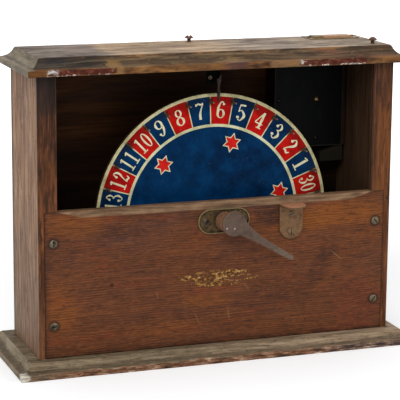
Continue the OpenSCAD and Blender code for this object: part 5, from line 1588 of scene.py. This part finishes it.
# %% Wheel board
wheel_wood = Finish("wheel_board_wood", roughness=0.6, specular=0.22)
figure, streaks = oak_grain(wheel_wood, 0, waves=0.7, seed=45.2)[:2]
tone = wheel_wood.sum(wheel_wood.times(figure, 0.6), wheel_wood.times(streaks, 0.4))
base = wheel_wood.ramp(tone, (0.34, "3a281a"), (0.50, "5a4330"), (0.66, "775b42"))
# The rim, whose faces look sideways, is darkened nearly to black.
darkened_rim = wheel_wood.step(wheel_wood.math("ABSOLUTE", wheel_wood.ny), 0.7, 0.4)
base = wheel_wood.lay(base, darkened_rim, 0.85, "1d130b")
smear = wheel_wood.noise(18, 4, 0.6, move=(1, 7, 2))
base = wheel_wood.mix(wheel_wood.step(smear, 0.52, 0.68, 0, 0.6), base, colour("2b1d13"))
dress(wheel_wood.close(base, streaks, 0.2 * MM, wheel_wood.step(smear, 0.3, 0.7, 0.5, 0.7)),
      "wheel_disc")

# %% [markdown]
# The dial is printed paper under a satin varnish: thirty fields by turns red and blue, between
# two cream rings, round a deep blue middle. All of it follows from two numbers, the distance
# from the axis and the angle. The angle, counted in fields, gives the colour by its whole part
# and the distance to the dividing line by its fraction.

# %% Printed dial
BLUE_EDGE, INNER_EDGE, OUTER_EDGE = 0.7245, 0.7475, 0.9735
PRINT_SOFT = 0.002
dial = Finish("printed_dial", roughness=0.42, specular=0.035)
across, upward = dial.minus(dial.x, AXIS_X), dial.minus(dial.z, AXIS_Z)
radius = dial.math("SQRT", dial.sum(dial.times(across, across), dial.times(upward, upward)))
ring = dial.times(radius, 1 / WHEEL_R)
field = dial.sum(dial.times(dial.minus(dial.math("ARCTAN2", across, upward), PEG_TURN),
                            1 / PEG_STEP), FIELDS + 0.5)
whole = dial.math("FLOOR", field)
odd = dial.math("MODULO", whole, 2.0)
part = dial.minus(field, whole)
to_line = dial.times(dial.math("MINIMUM", part, dial.minus(1.0, part)),
                     dial.times(radius, PEG_STEP))


print("fields on the dial:", FIELDS)

# %% [markdown]
# Old printer's ink is never even. Each colour is a ramp of one noise, from its dark to its light,
# and the rings are laid over each other from the middle out.

# %% Colours of the dial
mottle = dial.noise(70, 4, 0.65, move=(1, 2, 3))
fade = dial.noise(11, 3, 0.6, move=(7, 2, 3))
blue = dial.ramp(mottle, (0.30, "01162f"), (0.52, "01274b"), (0.74, "03365d"))
blue = dial.mix(dial.step(fade, 0.42, 0.68, 0, 0.35), blue, colour("043b66"))
red = dial.ramp(mottle, (0.30, "8c0c0b"), (0.52, "b4130e"), (0.74, "c62018"))
cream = dial.ramp(mottle, (0.28, "a19e75"), (0.50, "cac9a1"), (0.72, "dcd9b4"))
rim_cream = dial.ramp(mottle, (0.28, "948a5e"), (0.50, "c0b88c"), (0.72, "d2cba0"))
fields = dial.mix(odd, red, blue)
line = dial.step(to_line, 0.62 * MM, 0.38 * MM)
fields = dial.mix(line, fields, cream)
base = dial.mix(dial.step(ring, BLUE_EDGE, BLUE_EDGE + PRINT_SOFT), blue, cream)
base = dial.mix(dial.step(ring, INNER_EDGE, INNER_EDGE + PRINT_SOFT), base, fields)
base = dial.mix(dial.step(ring, OUTER_EDGE, OUTER_EDGE + PRINT_SOFT), base, rim_cream)
dial.say("colours")

# %% [markdown]
# Oil has spread from every peg and held soot, drawn out along the radius. The distances to the
# pegs' circle and to the dividing line together give the distance to the nearest peg. The outer
# part of the fields is darker, partly dirt and partly painted shade. Specks and rust come from
# quicker noises.

# %% Soot, rust and painted shade on the dial
from_peg = dial.times(dial.minus(radius, PEG_CIRCLE + 0.5 * MM), 0.55)
halo = dial.math("SQRT", dial.sum(dial.times(from_peg, from_peg), dial.times(to_line, to_line)))
smudge = dial.noise(240, 4, 0.7, move=(3, 3, 3))
# Painted shade, with some dirt: the fields darken towards the rim.
darkening = dial.sum(ring, dial.times(dial.minus(smudge, 0.5), 0.10))
rim_shade_and_dirt = dial.times(dial.step(darkening, 0.87, 0.95), dial.step(ring, 0.974, 0.972))
base = dial.lay(base, rim_shade_and_dirt, 0.42, "120c0c")
halo = dial.step(dial.sum(halo, dial.times(dial.minus(smudge, 0.5), 5.5 * MM)), 3.1 * MM,
                 1.0 * MM)
soot = dial.ramp(smudge, (0.35, "17110c"), (0.55, "2d2317"), (0.75, "54432b"))
base = dial.mix(dial.times(halo, 0.9), base, soot)
specks = dial.step(dial.noise(620, 2, 0.5, move=(5, 1, 2)), 0.72, 0.77)
base = dial.lay(base, specks, 0.22, "9aa8a0")
rust = dial.step(dial.noise(95, 5, 0.7, move=(2, 9, 4)), 0.66, 0.72)
outer_share = dial.step(ring, 0.70, 0.97, 0.25, 1.0)
base = dial.lay(base, dial.times(rust, outer_share), 0.6, "3c2a1a")
rim_dirt = dial.step(ring, 0.975, 1.0, 0, 0.45)
base = dial.lay(base, rim_dirt, dial.step(smudge, 0.42, 0.6), "5d4d30")
height = dial.minus(dial.times(mottle, 0.35), dial.most(halo, dial.times(rust, 0.5)))
dress(dial.close(base, height, 0.06 * MM, dial.step(fade, 0.3, 0.7, 0.30, 0.46)), "dial_face")

# %% [markdown]
# The numerals and stars are printed in cream and red. Their ink is worn through in tiny spots.

# %% Cream and red print
for name, dark, middle, light, pieces in (
        ("cream_print", "a1996f", "cfc9a3", "e0dbbb", (numerals, star_outline)),
        ("red_print", "9c0f0e", "c4160f", "d4241a", (star_red,))):
    print_ink = Finish(name, roughness=0.42, specular=0.1)
    mottle = print_ink.noise(150, 4, 0.65, move=(1, 2, 3))
    ink = print_ink.ramp(mottle, (0.28, dark), (0.44, middle), (0.72, light))
    worn = print_ink.step(print_ink.noise(420, 3, 0.6, move=(4, 2, 7)), 0.66, 0.72)
    ink = print_ink.lay(ink, worn, 0.5, "4a3d2a")
    dress(print_ink.close(ink, mottle, 0.03 * MM, print_ink.step(mottle, 0.3, 0.7, 0.3, 0.46)),
          *pieces)

# %% [markdown]
# Old metal isn't one colour. Brass goes brown in the hollows and stays yellow where fingers rub;
# steel gets a skin of brown rust with grey rubbed places. All the metals here share one recipe:
# a bright metal, a dark skin that noise breaks up, fine scratches in the bump, and a roughness
# that follows the skin. Only the colours, the share of the skin and the scale change.


# %% Aged metals
def aged_metal(name, bright, middle, skin, share=0.5, scale=140, metallic=0.75, roughness=0.42,
               spot=None, extra=None, soft=0.04, slot=None):
    """bright, middle and skin are hex words; share from 0 to 1 is how much skin is left, and
    soft how gently it fades. slot names the screws' axis (1 or 2) and the places of the
    slots' floors along it in millimetres, which are darkened as painted shade; faces that slant
    away from that axis take the dark skin, as painted shade too."""
    metal = Finish(name, roughness=roughness, metallic=metallic, specular=0.4)
    coarse = metal.noise(scale, 5, 0.65, move=(1, 4, 2))
    fine = metal.noise(scale * 5, 3, 0.6, move=(3, 1, 5))
    base = metal.ramp(fine, (0.32, middle), (0.68, bright))
    cover = metal.step(metal.sum(metal.times(coarse, 0.8), metal.times(fine, 0.2)),
                       0.34 + soft + 0.24 * share, 0.34 - soft + 0.24 * share)
    base = metal.lay(base, cover, 0.85, skin)
    if spot:
        spots = metal.step(metal.noise(scale * 2.2, 4, 0.7, move=(8, 8, 1)), 0.58, 0.66)
        base = metal.lay(base, spots, 0.7, spot)
    if extra:
        base = extra(metal, base, fine)
    if slot:
        axis, floors = slot[0], slot[1:]
        square_on = metal.math("ABSOLUTE", (metal.nx, metal.ny, metal.nz)[axis])
        # Painted shade: faces that slant away from the screw's axis take the dark skin, and the
        # slots' floors go nearly black.
        base = metal.lay(base, metal.step(square_on, 0.90, 0.70), 0.7, skin)
        depth = (metal.x, metal.y, metal.z)[axis]
        for floor_at in floors:
            slot_floor_shade = metal.band(depth, (floor_at - 0.13) * MM, (floor_at + 0.13) * MM, 0.04 * MM)
            slot_floor_shade = metal.times(slot_floor_shade, metal.step(square_on, 0.90, 0.97))
            base = metal.lay(base, slot_floor_shade, 0.97, "040302")
    height = metal.sum(metal.times(fine, 0.5), metal.times(coarse, 0.5))
    rough = metal.sum(metal.step(cover, 0, 1, roughness - 0.08, roughness + 0.16),
                      metal.times(fine, 0.08))
    return metal.close(base, height, 0.08 * MM, rough)


print("the recipe for old metal is ready")

# %% [markdown]
# The escutcheon behind the lever is the dirtiest brass: grime fills its rim and lies round the
# lever's boss. The brass parts inside are cleaner.


# %% Escutcheon and brass
def grime_and_highlight_plate(metal, base, fine):
    """Dark grime along the escutcheon's rim and round the lever's boss."""
    across, upward = metal.minus(metal.x, AXIS_X), metal.minus(metal.z, AXIS_Z)
    reach = metal.math("SQRT", metal.sum(metal.times(across, across),
                                         metal.times(upward, upward)))
    base = metal.mix(metal.step(metal.sum(reach, metal.times(fine, 3 * MM)), 13.5 * MM, 10 * MM,
                                0, 0.75), base, colour("241b10"))
    straight = metal.most(metal.minus(metal.math("ABSOLUTE", across), 14 * MM), 0.0)
    round_end = metal.math("SQRT", metal.sum(metal.times(straight, straight),
                                             metal.times(upward, upward)))
    rim = metal.band(round_end, 9.8 * MM, 10.5 * MM, 0.6 * MM)
    base = metal.lay(base, rim, 0.6, "241b10")
    # The lighter band on the outer rim is partly rubbed brass and partly a painted highlight.
    return metal.mix(metal.step(round_end, 10.8 * MM, 11.6 * MM, 0, 0.6), base,
                     colour("93805a"))


dress(aged_metal("grimy_escutcheon_brass", "5f4a22", "402f15", "22180b", 0.6, 300,
                 metallic=0.4, roughness=0.55, extra=grime_and_highlight_plate, soft=0.09), escutcheon)
dress(aged_metal("old_brass", "8c7646", "69562f", "3b2f1b", 0.45, 160, spot="57492f"),
      "wheel_hub", "hub_plate", "shaft_bushing", "hinge_frame_leaves", "hinge_door_leaves",
      "hinge_frame_screws", "hinge_door_screws", "lock_body", "ratchet_rivets", "coin_trip")

# %% [markdown]
# Coins and thumbs have rubbed the middle of the slot's plate.


# %% Plate of the coin slot
def coppery_middle(metal, base, fine):
    """The raised middle of the slot's plate is rubbed to red copper by coins and thumbs."""
    raised = metal.step(metal.z, slot_high[2] - 1.6 * MM, slot_high[2] - 1.3 * MM)
    right_part = metal.step(metal.x, slot_low[0] + 14 * MM, slot_low[0] + 17 * MM)
    raised = metal.times(raised, right_part)
    rubbed = metal.mix(metal.step(fine, 0.4, 0.6), colour("9c7253"), colour("bf9676"))
    return metal.mix(metal.times(raised, 0.85), base, rubbed)


dress(aged_metal("slot_plate_brass", "8b7448", "6a5634", "42362a", 0.5, 150,
                 extra=coppery_middle), slot_plate)

# %% [markdown]
# The lever has gone brown, and its edges and its grip are paler.


# %% Lever
def coppery_rim_and_highlight(metal, base, fine):
    """Copper colour on the lever's edges, partly rubbed metal and partly painted highlight, and a
    paler stretch towards the grip, painted highlight on rubbed steel; its broad face stays brown.
    """
    side_on = metal.step(metal.math("ABSOLUTE", metal.ny), 0.9, 0.5)
    # Towards the grip: painted highlight, with some rubbed steel.
    rubbed = metal.times(metal.step(metal.x, 0.036, 0.062), metal.step(fine, 0.3, 0.6))
    base = metal.lay(base, rubbed, 0.4, "7d6d5c")
    return metal.lay(base, side_on, 0.55, "946f52")


dress(aged_metal("browned_lever_steel", "5c493c", "4e3d32", "402f25", 0.45, 110, metallic=0.3,
                 roughness=0.52, extra=coppery_rim_and_highlight, soft=0.14), lever_bar)
dress(aged_metal("boss_bronze", "9a6f52", "86604a", "694736", 0.4, 160, metallic=0.25,
                 roughness=0.5), "lever_boss")

# %% [markdown]
# The stop takes the lever's blow on one lip.


# %% Stop
def coppery_lip(metal, base, fine):
    """The stop's lip, where the lever strikes, is bright copper on top."""
    share = metal.times(metal.step(metal.nz, 0.5, 0.8), metal.step(fine, 0.3, 0.5, 0.6, 1.0))
    return metal.mix(share, base, colour("c58a68"))


dress(aged_metal("worn_bronze", "765535", "624528", "4d351f", 0.4, 160, metallic=0.3,
                 roughness=0.52, extra=coppery_lip, soft=0.12), stop_bracket)

# %% [markdown]
# Screws are small in the picture, but their slots are what tells them from rivets. The slots are
# darkened down to their floors, and the heads' slanting sides too: painted shade. Each set of
# screws has aged with the part that it holds.


# %% Screws and studs
def left_ones_dark(metal, base, fine):
    """The escutcheon's screws are nearly black; the stop's are brown like the stop."""
    return metal.lay(base, metal.step(metal.x, 0.030, 0.026), 0.75, "1c1711")


dress(aged_metal("plate_screws", "75593c", "644a30", "43301f", 0.3, 90, metallic=0.3,
                 roughness=0.5, extra=left_ones_dark, slot=(1, -51.2, -50.59)), "hardware_screws")
dress(aged_metal("slot_plate_screws", "6f5a44", "574433", "392c22", 0.5, 300, metallic=0.4,
                 roughness=0.5, slot=(2, 297.48)), "coin_slot_screws")
dress(aged_metal("pointer_studs", "4a3628", "2a1f17", "15110e", 0.6, 260, metallic=0.6,
                 roughness=0.5), "pointer_bracket_screws", "pointer_pins")
dress(aged_metal("rusty_top_screws", "8a6a55", "6a4636", "43291e", 0.6, 420, metallic=0.45,
                 roughness=0.55, spot="7b4a34", slot=(2, 300.85)), "top_screws")
dress(aged_metal("panel_screws_steel", "6e644c", "524834", "261e15", 0.4, 150, metallic=0.5,
                 roughness=0.46, slot=(1, -49.19, 46.71)), "front_panel_screws",
      "back_panel_screws")
dress(aged_metal("base_screws_steel", "6f6653", "4a4335", "25201a", 0.5, 420, metallic=0.5,
                 roughness=0.46, slot=(2, 2.09)), "base_screws")

# %% [markdown]
# The mechanism is steel and iron, from bright pins to black forged parts.

# %% Steel and iron
dress(aged_metal("grey_steel", "8d8a84", "6c6862", "463f38", 0.45, 180, metallic=0.8,
                 roughness=0.38, spot="5b4636"),
      "lever_shaft", "axle", "axle_screw", "spring_post", "stop_pins", "pawl", "pawl_pin",
      "ratchet_wheel", "hinge_pins", "coin_trip_pin", "lock_cam", "hub_screws",
      "axle_bracket_screws", return_spring)
dress(aged_metal("rusty_pegs", "857b69", "5f5546", "33281f", 0.45, 500, metallic=0.5,
                 roughness=0.42), peg_pins)
dress(aged_metal("bright_pins", "938a80", "7f756b", "655b52", 0.3, 400, metallic=0.5,
                 roughness=0.4), "lever_pins")
dress(aged_metal("dark_iron", "2e2723", "201b18", "130f0d", 0.55, 260, metallic=0.3,
                 roughness=0.55, spot="3a251a"), "drive_arm", "axle_bracket", pawl_spring)
dress(aged_metal("pointer_iron", "352720", "211814", "100c0a", 0.5, 200, metallic=0.8,
                 roughness=0.5, soft=0.08), pointer)
# The pointer's bracket is near black: dark iron, and painted shade inside the case.
dress(aged_metal("black_iron_bracket_in_painted_shade", "0b0807", "060504", "030202", 0.6, 200, metallic=0.95,
                 roughness=0.75, soft=0.1), pointer_leg)

# %% [markdown]
# The cover over the coins' way is sheet metal in old black paint. It is nearly matt, with a few
# grey scuffs, and the paint went over its screws, so only the one that was changed later
# shows brass.

# %% Black cover and its screws
black = Finish("black_cover_paint", roughness=0.55, specular=0.05)
scuff = black.noise((90, 90, 40), 5, 0.7, move=(2, 3, 1))
fine = black.noise(600, 3, 0.6)
base = black.ramp(scuff, (0.35, "020202"), (0.60, "030404"), (0.76, "14181c"))
cover_low, cover_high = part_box("coin_cover")
edge = edge_distance(black, cover_low, cover_high)
base = black.mix(black.step(black.minus(edge, black.times(scuff, 2 * MM)), 0.2 * MM, -0.8 * MM,
                            0, 0.6), base, colour("35302b"))
dress(black.close(base, black.sum(fine, scuff), 0.05 * MM, black.step(scuff, 0.3, 0.7, 0.44, 0.6)),
      "coin_cover")


def painted_over(metal, base, fine):
    """All of these screws but the upper right one are under the black paint."""
    right_side_up = metal.times(metal.step(metal.x, 0.118, 0.122),
                                metal.step(metal.z, 0.215, 0.219))
    return metal.mix(right_side_up, colour("0c0d0e"), base)


dress(aged_metal("cover_screws", "8f7648", "6b5530", "3a2d1b", 0.4, 300, extra=painted_over),
      "coin_cover_screws")
missing = sorted(set(nodes) - dressed)
print("nodes without a finish:", missing)
